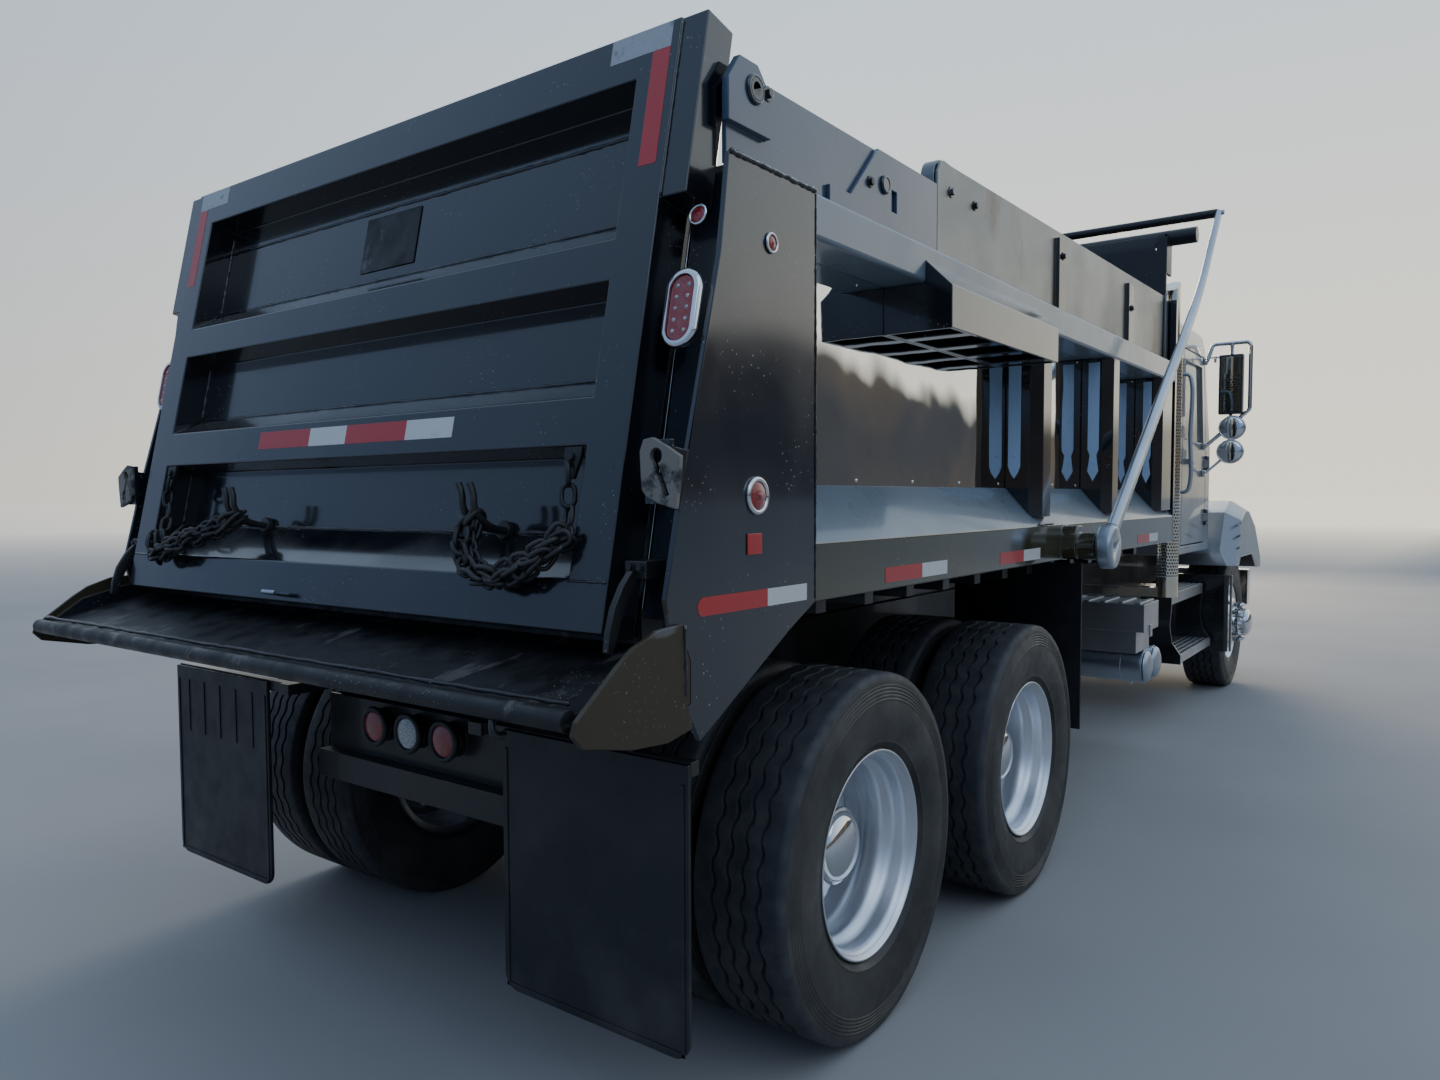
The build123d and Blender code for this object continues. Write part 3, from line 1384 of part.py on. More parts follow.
def tarp_bow():
    """Two bent arms outside the bed and the bar that joins them over the front."""
    y0 = arm_y - arm_thickness / 2
    y1 = arm_y + arm_thickness / 2
    pieces = None
    for side in (1, -1):
        low = arm_half_low
        high = arm_half_high
        slope = math.atan2(arm_elbow_z - arm_pivot_z, arm_elbow_x - arm_pivot_x)
        steep = math.atan2(arm_top_z - arm_elbow_z, arm_top_x - arm_elbow_x)
        nx, nz = (math.sin(slope), math.cos(slope))
        mx, mz = (math.sin(steep), math.cos(steep))
        ex, ez = (math.sin((slope + steep) / 2), math.cos((slope + steep) / 2))
        outline = [
            (arm_pivot_x - nx * low, arm_pivot_z + nz * low),
            (arm_elbow_x - ex * high, arm_elbow_z + ez * high),
            (arm_top_x - mx * high, arm_top_z + mz * high), (arm_top_x + mx * high, arm_top_z - mz * high),
            (arm_elbow_x + ex * high, arm_elbow_z - ez * high),
            (arm_pivot_x + nx * low, arm_pivot_z - nz * low),
        ]
        arm = side_plate(outline, side * y0, side * y1)
        arm += across(arm_pivot_x, arm_pivot_z, arm_boss_radius, side * y0, side * arm_boss_face)
        arm -= across(arm_pivot_x, arm_pivot_z, arm_pin_radius + pin_gap, side * (y0 - 5), side * (y1 - 10))
        pieces = arm if pieces is None else pieces + arm
    bar = across(arm_top_x, arm_top_z, bow_radius, -y0 - 2, y0 + 2)
    return pieces + bar


def tarp_pivot():
    """The bracket on the rub rail with the stub pin that the arm turns on."""
    y0 = arm_y - arm_thickness / 2
    y1 = arm_y + arm_thickness / 2
    face = bed_half - 1
    bracket = box(arm_pivot_x - 70, arm_pivot_x + 70, face, face + 60, skirt_low + 5, skirt_high - 5)
    bracket = fillet(bracket.edges().filter_by(Axis.Y), 50)
    bracket += across(arm_pivot_x, arm_pivot_z, 55, face + 10, y0 - move_gap)
    return bracket + across(arm_pivot_x, arm_pivot_z, arm_pin_radius, face + 10, y1 - 14)


# Hoist

def hoist_barrel():
    axis_low = hoist_low
    body = Pos(hoist_x, 0, (axis_low + hoist_high) / 2) * Cylinder(hoist_radii[0], hoist_high - axis_low)
    bore = Cylinder(hoist_radii[1] + 1, hoist_high - axis_low)
    body -= Pos(hoist_x, 0, (axis_low + hoist_high) / 2 + 40) * bore
    return body + across(hoist_x, hoist_z, trunnion_radius, -trunnion_half, -hoist_radii[1] - 4) \
        + across(hoist_x, hoist_z, trunnion_radius, hoist_radii[1] + 4, trunnion_half)


def hoist_stage(index):
    """One sleeve of the telescopic hoist, standing a little above the one outside it."""
    low = hoist_low + 50 + 25 * index
    high = hoist_high + 20 * index
    sleeve = Pos(hoist_x, 0, (low + high) / 2) * Cylinder(hoist_radii[index], high - low)
    bore = Pos(hoist_x, 0, (low + high) / 2 + 22) * Cylinder(hoist_radii[index + 1] + 1, high - low)
    return sleeve - bore


def hoist_rod():
    low = hoist_low + 50 + 25 * 3
    high = hoist_eye_z - hoist_eye_radius + 6
    stem = Pos(hoist_x, 0, (low + high) / 2) * Cylinder(hoist_radii[3], high - low)
    eye = across(hoist_eye_x, hoist_eye_z, hoist_eye_radius, -34, 34)
    neck = box(hoist_eye_x - 40, hoist_x + 40, -30, 30, high - 10, hoist_eye_z)
    rod_end = stem + eye + neck
    return rod_end


def build():
    os.makedirs("parts", exist_ok=True)
    wheels()
    save("frame_rails", frame_rails())
    save("front_axle", front_axle())
    save("drive_axles", drive_axles())
    save("suspension", suspension())
    save("engine_block", engine())
    save("radiator", radiator())
    save("fuel_and_air_tanks", tanks())
    save("battery_box", battery_box())
    save("exhaust_stack", exhaust_stack())
    save("cab_steps", cab_steps())
    save("front_bumper", front_bumper())
    save("mud_flaps", mud_flaps())
    save("rear_lamp_bar", rear_lamp_bar())
    save("cab_shell", cab_shell())
    save("cab_glass", cab_glass())
    save("cab_interior", cab_interior())
    save("hood_shell", hood_shell())
    save("grille", grille())
    save("headlamps", headlamps())
    for label, side in (("left", 1), ("right", -1)):
        save(f"door_{label}", door(side))
        save(f"door_glass_{label}", door_glass(side))
        save(f"mirrors_{label}", mirror_set(side))
        save(f"knuckle_{label}", knuckle(side))
    save("bed_floor", bed_floor())
    save("side_sheets", side_sheets())
    save("lower_rails", lower_rails())
    save("top_rails", top_rails())
    save("side_posts", side_posts())
    save("front_wall", front_wall())
    save("bed_sills", bed_sills())
    save("sideboards", sideboards())
    save("corner_posts", corner_posts())
    save("rear_apron", rear_apron())
    save("side_box", side_box())
    save("tarp_housing", tarp_housing())
    save("bed_lamps", bed_lamps())
    save("tailgate", tailgate())
    save("tailgate_chains", tailgate_chains())
    save("tarp_bow", tarp_bow())
    save("hoist_barrel", hoist_barrel())
    save("hoist_stage_1", hoist_stage(1))
    save("hoist_stage_2", hoist_stage(2))
    save("hoist_rod", hoist_rod())


build()
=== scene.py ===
import json
import math

import bpy
from mathutils import Matrix, Vector

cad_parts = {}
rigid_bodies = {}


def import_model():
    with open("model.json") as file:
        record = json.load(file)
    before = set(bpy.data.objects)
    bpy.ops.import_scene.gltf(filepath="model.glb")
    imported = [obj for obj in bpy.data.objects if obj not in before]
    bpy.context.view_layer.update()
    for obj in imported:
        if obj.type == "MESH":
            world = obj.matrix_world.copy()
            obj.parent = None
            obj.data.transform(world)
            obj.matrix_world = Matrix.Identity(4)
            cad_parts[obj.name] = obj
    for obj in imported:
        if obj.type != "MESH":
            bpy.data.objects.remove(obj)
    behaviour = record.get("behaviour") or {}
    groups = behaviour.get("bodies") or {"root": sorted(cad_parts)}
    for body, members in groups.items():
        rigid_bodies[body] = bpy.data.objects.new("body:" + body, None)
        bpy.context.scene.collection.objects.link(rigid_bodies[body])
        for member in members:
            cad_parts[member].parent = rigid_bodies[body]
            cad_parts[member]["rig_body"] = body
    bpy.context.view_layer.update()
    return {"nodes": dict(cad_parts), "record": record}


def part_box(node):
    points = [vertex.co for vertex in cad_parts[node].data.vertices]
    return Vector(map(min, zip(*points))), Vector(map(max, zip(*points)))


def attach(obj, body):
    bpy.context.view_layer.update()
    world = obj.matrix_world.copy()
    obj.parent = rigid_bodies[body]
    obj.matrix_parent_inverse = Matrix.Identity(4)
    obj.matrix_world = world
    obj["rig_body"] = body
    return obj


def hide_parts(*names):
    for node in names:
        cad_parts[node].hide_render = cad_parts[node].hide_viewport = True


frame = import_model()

# Sizes in metres. X runs forward, Y to the left, Z up.
rear_axle, middle_axle, front_axle = (
    sum(corner.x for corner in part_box(name)) / 2
    for name in ("tyres_rear_right", "tyres_middle_right", "tyre_front_right"))
twin_axles = (("rear", rear_axle), ("middle", middle_axle))
rear_low, rear_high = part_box("tyres_rear_right")
front_low, front_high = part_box("tyre_front_right")
tyre_radius = (rear_high.z - rear_low.z) / 2
tyre_width = front_high.y - front_low.y
tread_steps = 144
groove_offsets = (-0.069, -0.023, 0.023, 0.069)
groove_half = 0.0055
groove_depth = 0.013
zigzag = 0.0055
rim_half = 0.127
side_face = -1.2202
weld_face = -1.2205
board_face = 1.171
plate_top = 2.298
rail_high = 1.433
panel_low = 1.592
panel_high = 2.165
tape_thickness = 0.0007
round_mirrors = ((1.198, 2.035), (1.188, 1.862))

sides = (("right", -1), ("left", 1))
outward = Vector((0, -1, 0))
backward = Vector((-1, 0, 0))
slot_of = {row["node"]: row["material_slot"] for row in frame["record"]["subparts"]}


def at(x, y, z):
    """A point given from the rearmost axle, as the sizes of such a truck are."""
    return Vector((rear_axle + x, y, z))


def body_of(name):
    return frame["nodes"][name]["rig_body"]


# Modelling helpers

def clear():
    """Back to object mode with nothing selected."""
    if bpy.context.mode != "OBJECT":
        bpy.ops.object.mode_set(mode="OBJECT")
    bpy.ops.object.select_all(action="DESELECT")


def pick(*pieces):
    """Only these pieces selected, the first one active."""
    clear()
    for piece in pieces:
        piece.select_set(True)
    bpy.context.view_layer.objects.active = pieces[0]


def settle(piece, name, matrix=None):
    """Put the piece's place into its mesh, with its object at the origin."""
    if matrix is not None:
        piece.matrix_world = matrix
    pick(piece)
    bpy.ops.object.transform_apply(location=True, rotation=True, scale=True)
    piece.name = name
    return piece


def apply_modifier(piece, kind, **settings):
    pick(piece)
    modifier = piece.modifiers.new("step", kind)
    for key, value in settings.items():
        setattr(modifier, key, value)
    bpy.ops.object.modifier_apply(modifier="step")


def even_shading(piece, angle=50):
    """Smooth over small angles, with broad faces kept flat."""
    pick(piece)
    bpy.ops.object.shade_smooth_by_angle(angle=math.radians(angle))
    apply_modifier(piece, "WEIGHTED_NORMAL", keep_sharp=True, weight=60)


def round_edges(piece, width, segments=2, angle=30):
    apply_modifier(piece, "BEVEL", width=width, segments=segments, limit_method="ANGLE",
                   angle_limit=math.radians(angle), use_clamp_overlap=False)
    even_shading(piece)


def cut_away(piece, cutter):
    """Take a cutter's shape out of a piece."""
    apply_modifier(piece, "BOOLEAN", operation="DIFFERENCE", solver="EXACT", object=cutter)
    bpy.data.objects.remove(cutter)


def open_mesh(action="SELECT"):
    """Into edit mode, with all of the mesh selected."""
    bpy.ops.object.mode_set(mode="EDIT")
    bpy.ops.mesh.select_all(action=action)


def close_mesh(merge=True):
    """Merge doubled points, turn all faces outwards, and leave edit mode."""
    bpy.ops.mesh.select_all(action="SELECT")
    if merge:
        bpy.ops.mesh.remove_doubles(threshold=1e-5)
    bpy.ops.mesh.normals_make_consistent(inside=False)
    bpy.ops.object.mode_set(mode="OBJECT")


def block(name, low, high, width=0.002, segments=2):
    """A block between two corners with rounded edges."""
    low, high = (Vector(low), Vector(high))
    clear()
    bpy.ops.mesh.primitive_cube_add(size=1, location=(low + high) / 2)
    piece = bpy.context.object
    piece.scale = [max(abs(size), 1e-4) for size in high - low]
    settle(piece, name)
    if width:
        round_edges(piece, width, segments)
    return piece


def facing(centre, direction):
    """A place whose Z axis points in a direction."""
    turn = Vector(direction).to_track_quat("Z", "Y").to_matrix().to_4x4()
    return Matrix.Translation(Vector(centre)) @ turn


def bar(name, start, end, radius, sides=20, width=0.0):
    """A round bar between two points, its rims rounded if a width is given."""
    start, end = (Vector(start), Vector(end))
    clear()
    bpy.ops.mesh.primitive_cylinder_add(vertices=sides, radius=radius, depth=(end - start).length)
    piece = settle(bpy.context.object, name, facing((start + end) / 2, end - start))
    if width:
        round_edges(piece, width, 2, 60)
    else:
        even_shading(piece)
    return piece


def crosswise(name, x, z, near, far, radius, sides=20, width=0.0):
    """A round bar across the truck, from one distance to the left of its middle to another."""
    return bar(name, at(x, near, z), at(x, far, z), radius, sides, width)


def ring(name, centre, direction, major, minor, around=40, sides=10):
    clear()
    bpy.ops.mesh.primitive_torus_add(major_radius=major, minor_radius=minor, major_segments=around,
                                     minor_segments=sides)
    piece = settle(bpy.context.object, name, facing(centre, direction))
    bpy.ops.object.shade_smooth()
    return piece


def dome(name, centre, direction, radius, height, steps=32):
    """A shallow round lens or cap standing on a face."""
    clear()
    bpy.ops.mesh.primitive_uv_sphere_add(segments=steps, ring_count=16, radius=radius)
    piece = bpy.context.object
    open_mesh()
    bpy.ops.mesh.bisect(plane_co=(0, 0, 0), plane_no=(0, 0, 1), clear_inner=True, use_fill=True)
    bpy.ops.object.mode_set(mode="OBJECT")
    piece.scale = (1, 1, height / radius)
    bpy.ops.object.transform_apply(location=False, rotation=False, scale=True)
    settle(piece, name, facing(centre, direction))
    even_shading(piece)
    return piece


def outline_face(points, fill):
    """A flat loop of points made from a circle whose vertices are moved to the outline."""
    clear()
    bpy.ops.mesh.primitive_circle_add(vertices=len(points), radius=1, fill_type=fill)
    piece = bpy.context.object
    for vertex, point in zip(piece.data.vertices, points):
        vertex.co = (point[0], point[1], point[2] if len(point) > 2 else 0.0)
    return piece


def plate(name, points, matrix, depth, width=0.0015, segments=1):
    """An outline in a plane, extruded along the plane's normal, with eased edges."""
    piece = outline_face(points, "NGON")
    open_mesh()
    bpy.ops.mesh.extrude_region_move(TRANSFORM_OT_translate={"value": (0, 0, depth)})
    close_mesh(merge=False)
    settle(piece, name, matrix)
    if width:
        round_edges(piece, width, segments)
    return piece


def plane_at(origin, across, up):
    """A plane whose X and Y run across and up from an origin."""
    across = Vector(across).normalized()
    normal = across.cross(Vector(up)).normalized()
    matrix = Matrix((across, normal.cross(across), normal)).transposed().to_4x4()
    return Matrix.Translation(Vector(origin)) @ matrix


def side_plane(origin):
    """The truck's right side seen square on: X forward, Y up, Z outwards."""
    return plane_at(origin, (1, 0, 0), (0, 0, 1))


def rear_plane(origin):
    """The truck seen from behind: X to the right, Y up, Z backwards."""
    return plane_at(origin, (0, -1, 0), (0, 0, 1))


def spun(name, profile, matrix, steps, angle=60):
    """A closed profile of radius and height, spun about the matrix's Z axis."""
    piece = outline_face([(radius, 0, height) for radius, height in profile], "NOTHING")
    open_mesh()
    bpy.ops.mesh.spin(steps=steps, angle=2 * math.pi, center=(0, 0, 0), axis=(0, 0, 1))
    close_mesh()
    settle(piece, name, matrix)
    bpy.ops.object.shade_smooth_by_angle(angle=math.radians(angle))
    return piece


def bent_rod(name, points, radius, bend_steps=8, taper=()):
    """A round bar along a smooth line through the given points, with closed ends."""
    clear()
    bpy.ops.curve.primitive_bezier_curve_add(location=(0, 0, 0))
    curve = bpy.context.object.data
    knots = curve.splines[0].bezier_points
    knots.add(len(points) - 2)
    for knot, point in zip(knots, points):
        knot.co = point
        knot.handle_left_type = knot.handle_right_type = "AUTO"
    for knot, share in zip(knots, taper):
        knot.radius = share
    curve.dimensions = "3D"
    curve.bevel_depth = radius
    curve.bevel_resolution = 4
    curve.resolution_u = bend_steps
    curve.use_fill_caps = True
    bpy.ops.object.convert(target="MESH")
    piece = bpy.context.object
    open_mesh()
    close_mesh()
    piece.name = name
    bpy.ops.object.shade_smooth_by_angle(angle=math.radians(50))
    return piece


def weld(name, start, end, radius):
    """A bead of weld: a thin bar with many rings that are pushed about."""
    start, end = (Vector(start), Vector(end))
    length = (end - start).length
    clear()
    bpy.ops.mesh.primitive_cylinder_add(vertices=10, radius=radius, depth=length)
    piece = bpy.context.object
    bpy.context.tool_settings.mesh_select_mode = (False, True, False)
    open_mesh("DESELECT")
    bpy.ops.object.mode_set(mode="OBJECT")
    for edge in piece.data.edges:
        ends = [piece.data.vertices[index].co.z for index in edge.vertices]
        edge.select = abs(ends[0] - ends[1]) > length / 2
    bpy.ops.object.mode_set(mode="EDIT")
    bpy.ops.mesh.subdivide(number_cuts=max(8, min(100, int(length / 0.009))))
    bpy.ops.object.mode_set(mode="OBJECT")
    texture = bpy.data.textures.new("bead", "CLOUDS")
    texture.noise_scale = 0.011
    apply_modifier(piece, "DISPLACE", texture=texture, strength=radius * 1.5, mid_level=0.5)
    bpy.ops.object.shade_smooth()
    return settle(piece, name, facing((start + end) / 2, end - start))


def bolt(name, place, direction, size=0.012):
    """A hexagon head on a washer."""
    direction = Vector(direction).normalized()
    place = Vector(place)
    washer = bar("washer", place, place + direction * size * 0.25, size * 1.5, 20, size * 0.08)
    head = bar("head", place + direction * size * 0.2, place + direction * size, size, 6, size * 0.12)
    return joined(name, [head, washer])


def copied(piece, name, matrix):
    """Another of the same piece, with a mesh of its own."""
    twin = bpy.data.objects.new(name, piece.data.copy())
    bpy.context.collection.objects.link(twin)
    twin.data.transform(matrix)
    if matrix.determinant() < 0:
        twin.data.flip_normals()
    return twin


def joined(name, pieces):
    """Several pieces made one."""
    pick(*pieces)
    if len(pieces) > 1:
        bpy.ops.object.join()
    piece = bpy.context.object
    piece.name = name
    return piece


def coated(piece, *materials):
    piece.data.materials.clear()
    for material in materials:
        piece.data.materials.append(material)


def dressed(piece, body, slot, *materials, stands_for=None):
    """Give a piece its body and its materials, and hide the CAD node it stands for. The slot is not used."""
    if materials:
        coated(piece, *materials)
    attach(piece, body)
    if stands_for:
        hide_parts(stands_for)
    return piece


def group(name, pieces, body, slot, *materials, stands_for=None):
    """Several pieces made one and dressed."""
    return dressed(joined(name, pieces), body, slot, *materials, stands_for=stands_for)


def both_sides(piece, slot, *materials, body="bed"):
    """A piece for the right side and its mirror image for the left."""
    dressed(piece, body, slot, *materials)
    twin = copied(piece, piece.name.replace("right", "left"), Matrix.Scale(-1, 4, (0, 1, 0)))
    dressed(twin, body, slot)


def softened(name, material, width):
    """A finished copy of a CAD node with rounded edges, which stands for it."""
    piece = bpy.data.objects.new(f"{name}_finished", frame["nodes"][name].data.copy())
    bpy.context.collection.objects.link(piece)
    pick(piece)
    bpy.ops.mesh.customdata_custom_splitnormals_clear()
    open_mesh()
    bpy.ops.mesh.remove_doubles(threshold=1e-5)
    bpy.ops.mesh.dissolve_limited(angle_limit=math.radians(0.5))
    bpy.ops.object.mode_set(mode="OBJECT")
    if width:
        round_edges(piece, width)
    else:
        even_shading(piece, 35)
    return dressed(piece, body_of(name), slot_of[name], material, stands_for=name)


# Material helpers. A socket knows its tree, so only the first node of a chain is given the tree.

def feed(target, value):
    """Link a socket to an input, or set the input's own value."""
    if isinstance(value, bpy.types.NodeSocket):
        target.id_data.links.new(value, target)
    elif target.type == "RGBA":
        target.default_value = (*value, 1.0)
    else:
        target.default_value = value


def node(tree, kind, inputs=None, **settings):
    """A shader node with its settings, and its inputs linked or given a value."""
    made = tree.nodes.new(kind)
    for key, value in settings.items():
        setattr(made, key, value)
    for key, value in (inputs or {}).items():
        feed(made.inputs[key], value)
    return made


def give(material, inputs):
    """Feed inputs of the material's shader."""
    for name, value in inputs.items():
        feed(material.node_tree.nodes["Principled BSDF"].inputs[name], value)


def start_material(name, inputs=None):
    material = bpy.data.materials.new(name)
    material.use_nodes = True
    give(material, inputs or {})
    return material, material.node_tree


def covered(material, colour, rough, height, strength, depth):
    """A material with its colour, roughness and bumps fed to its shader."""
    inputs = {"Height": height, "Strength": strength, "Distance": depth}
    bump = node(material.node_tree, "ShaderNodeBump", inputs)
    give(material, {"Base Color": colour, "Roughness": rough, "Normal": bump.outputs["Normal"]})
    return material


def coordinates(tree, stretch=(1, 1, 1)):
    place = node(tree, "ShaderNodeTexCoord").outputs["Object"]
    return node(tree, "ShaderNodeMapping", {"Vector": place, "Scale": stretch}).outputs["Vector"]


def noise(tree, scale, detail, stretch=(1, 1, 1), rough=0.55):
    inputs = {"Vector": coordinates(tree, stretch), "Scale": scale, "Detail": detail, "Roughness": rough}
    return node(tree, "ShaderNodeTexNoise", inputs).outputs["Fac"]


def cells(tree, scale):
    inputs = {"Vector": coordinates(tree), "Scale": scale}
    return node(tree, "ShaderNodeTexVoronoi", inputs).outputs["Distance"]


def ramp(value, low, high, dark=0.0, bright=1.0):
    inputs = {"Value": value, "From Min": low, "From Max": high, "To Min": dark, "To Max": bright}
    return node(value.id_data, "ShaderNodeMapRange", inputs).outputs["Result"]


def blend(amount, first, second):
    inputs = {0: amount, 6: first, 7: second}
    return node(amount.id_data, "ShaderNodeMix", inputs, data_type="RGBA").outputs[2]


def sum_up(operation, *values, clamp=False):
    """One step of arithmetic on sockets and numbers, the first of them a socket."""
    made = node(values[0].id_data, "ShaderNodeMath", dict(enumerate(values)), operation=operation)
    made.use_clamp = clamp
    return made.outputs[0]


def times(first, second):
    return sum_up("MULTIPLY", first, second)


def plus(first, second):
    return sum_up("ADD", first, second, clamp=True)


def split(vector):
    """The three sockets of a vector."""
    parts = node(vector.id_data, "ShaderNodeSeparateXYZ", {"Vector": vector})
    return [parts.outputs[axis] for axis in "XYZ"]


def position(tree):
    return split(node(tree, "ShaderNodeTexCoord").outputs["Object"])


def height_share(tree, low, high):
    """Nought below one height and one above another, in metres over the ground."""
    return ramp(position(tree)[2], low, high)


# Finishes

sky_strength = 1.25
behind_horizon = (0.14, 0.21, 0.36)
ahead_horizon = (1.08, 1.01, 0.82)


def painted(name, base, dirt, rough=(0.1, 0.26), specks=0.5, wave=0.0012, coat=0.8):
    """Gloss paint with faint waves, dust that gathers in patches, and small pale specks."""
    material, tree = start_material(name, {"Coat Weight": coat, "Coat Roughness": 0.07, "Coat IOR": 1.5})
    patches = ramp(noise(tree, 2.3, 6), 0.42, 0.72)
    streaks = ramp(noise(tree, 7, 5, (1, 1, 0.22)), 0.5, 0.78)
    spots = times(times(ramp(cells(tree, 60), 0.16, 0.09), ramp(noise(tree, 5, 4), 0.5, 0.68)), specks)
    dust = times(plus(times(patches, 0.5), times(streaks, 0.35)), height_share(tree, 2.4, 0.6))
    colour = blend(spots, blend(times(dust, 0.35), base, dirt), (0.5, 0.49, 0.46))
    sheen = plus(ramp(patches, 0, 1, *rough), times(dust, 0.25))
    height = plus(noise(tree, 1.7, 2), times(noise(tree, 420, 2), 0.02))
    return covered(material, colour, plus(sheen, times(spots, 0.5)), height, 0.6, wave)


def worn_paint(name, base, bare, share):
    """Paint scraped through to rough metal in patches, with grit on it."""
    material, tree = start_material(name)
    scrapes = ramp(noise(tree, 9, 8, (0.35, 1, 1), 0.65), share, share + 0.06)
    grit = times(ramp(cells(tree, 90), 0.16, 0.08), ramp(noise(tree, 5, 3), 0.5, 0.62))
    colour = blend(times(grit, 0.7), blend(scrapes, base, bare), (0.42, 0.38, 0.31))
    rough = ramp(noise(tree, 14, 4), 0.3, 0.7, 0.28, 0.62)
    height = plus(times(noise(tree, 60, 6), 0.5), times(grit, 0.5))
    return covered(material, colour, rough, height, 0.5, 0.0015)


def bright_metal(name, base, rough, stretch, depth, wave, stain=None, grain_height=0.05):
    """Bare metal with a drawn grain along one direction and optional brown stains."""
    material, tree = start_material(name, {"Metallic": 1.0})
    grain = noise(tree, 240, 3, stretch)
    cloud = noise(tree, 3.1, 5)
    colour = blend(ramp(cloud, 0.3, 0.7), base, [part * 0.82 for part in base])
    if stain:
        amount = ramp(noise(tree, 3.7, 6, (1, 1, 0.5), 0.6), 0.58, 0.72)
        colour = blend(times(amount, 0.75), colour, stain)
    sheen = ramp(plus(times(grain, 0.35), times(cloud, 0.65)), 0.25, 0.75, *rough)
    height = plus(times(noise(tree, 2.2, 2), wave), times(grain, grain_height))
    return covered(material, colour, sheen, height, 0.5, depth)


def tyre_finish(name, dust, colours, sheen, grain):
    """Dusty rubber: dust and sheen each by scale and range, grain by scale, strength and depth."""
    material, tree = start_material(name)
    colour = blend(ramp(noise(tree, dust[0], 6), dust[1], dust[2]), *colours)
    rough = ramp(noise(tree, sheen[0], 4), 0.3, 0.7, sheen[1], sheen[2])
    return covered(material, colour, rough, noise(tree, grain[0], 5), grain[1], grain[2])


def flap_finish():
    material, tree = start_material("flap_rubber")
    dust = times(ramp(noise(tree, 4, 7), 0.45, 0.75), height_share(tree, 1.1, 0.2))
    colour = blend(dust, (0.014, 0.015, 0.018), (0.07, 0.066, 0.06))
    rough = ramp(noise(tree, 12, 4), 0.3, 0.7, 0.32, 0.54)
    height = plus(noise(tree, 140, 4), times(noise(tree, 1.5, 2), 0.5))
    return covered(material, colour, rough, height, 0.3, 0.0012)


def casting_finish(name, base, dusty, rough=0.55):
    """Greasy black castings under a film of road dust."""
    material, tree = start_material(name)
    dust = ramp(noise(tree, 5, 8), 0.4, 0.72)
    grease = ramp(noise(tree, 11, 4), 0.55, 0.7)
    colour = blend(times(grease, 0.6), blend(dust, base, dusty), (0.01, 0.01, 0.01))
    sheen = ramp(grease, 0, 1, rough + 0.15, rough - 0.2)
    return covered(material, colour, sheen, noise(tree, 90, 6), 0.5, 0.0015)


def silver_paint():
    """Metallic silver-grey paint under a clear coat."""
    inputs = {"Metallic": 0.75, "Coat Weight": 0.8, "Coat Roughness": 0.05}
    material, tree = start_material("silver_grey_paint", inputs)
    flake = ramp(noise(tree, 900, 1), 0.35, 0.65)
    dust = times(ramp(noise(tree, 3, 6), 0.45, 0.75), height_share(tree, 2.2, 0.7))
    colour = blend(flake, (0.3, 0.31, 0.32), (0.38, 0.39, 0.4))
    colour = blend(times(dust, 0.5), colour, (0.21, 0.19, 0.165))
    height = plus(noise(tree, 1.3, 2), times(noise(tree, 380, 1), 0.02))
    return covered(material, colour, plus(times(dust, 0.3), 0.3), height, 0.4, 0.0006)


def glass_finish():
    """Window glass with smears of dust."""
    material, tree = start_material("window_glass", {"Transmission Weight": 0.85, "IOR": 1.45})
    smear = ramp(noise(tree, 5, 6), 0.5, 0.8)
    colour = blend(times(smear, 0.3), (0.62, 0.68, 0.68), (0.5, 0.52, 0.5))
    return covered(material, colour, ramp(smear, 0, 1, 0.02, 0.16), noise(tree, 2, 2), 0.2, 0.0004)


def lens_finish(name, base, scale=260):
    """A coloured lens with a fine prism pattern moulded in it."""
    material, tree = start_material(name, {"Coat Weight": 1.0, "Coat Roughness": 0.04})
    prisms = cells(tree, scale)
    dust = ramp(noise(tree, 30, 4), 0.5, 0.75)
    colour = blend(ramp(prisms, 0, 0.6), base, [part * 0.45 for part in base])
    return covered(material, blend(times(dust, 0.25), colour, (0.3, 0.28, 0.26)), 0.12, prisms, 0.6, 0.0012)


def tape_finish(name, base, worn=0.25):
    """Reflective tape with a honeycomb of cells and worn edges."""
    material, tree = start_material(name, {"Coat Weight": 0.5})
    comb = ramp(cells(tree, 330), 0.35, 0.55)
    scuff = ramp(noise(tree, 26, 6), 0.6, 0.72)
    colour = blend(times(comb, 0.25), base, [min(1.0, part * 1.5 + 0.04) for part in base])
    colour = blend(times(scuff, worn), colour, (0.12, 0.12, 0.12))
    return covered(material, colour, ramp(comb, 0, 1, 0.28, 0.45), comb, 0.25, 0.0003)


def plastic_finish(name, base, rough):
    material, tree = start_material(name)
    tone = ramp(noise(tree, 3, 5), 0.4, 0.7)
    colour = blend(times(tone, 0.5), base, [part * 1.7 + 0.01 for part in base])
    sheen = ramp(tone, 0, 1, rough, rough + 0.15)
    return covered(material, colour, sheen, noise(tree, 400, 3), 0.35, 0.0006)


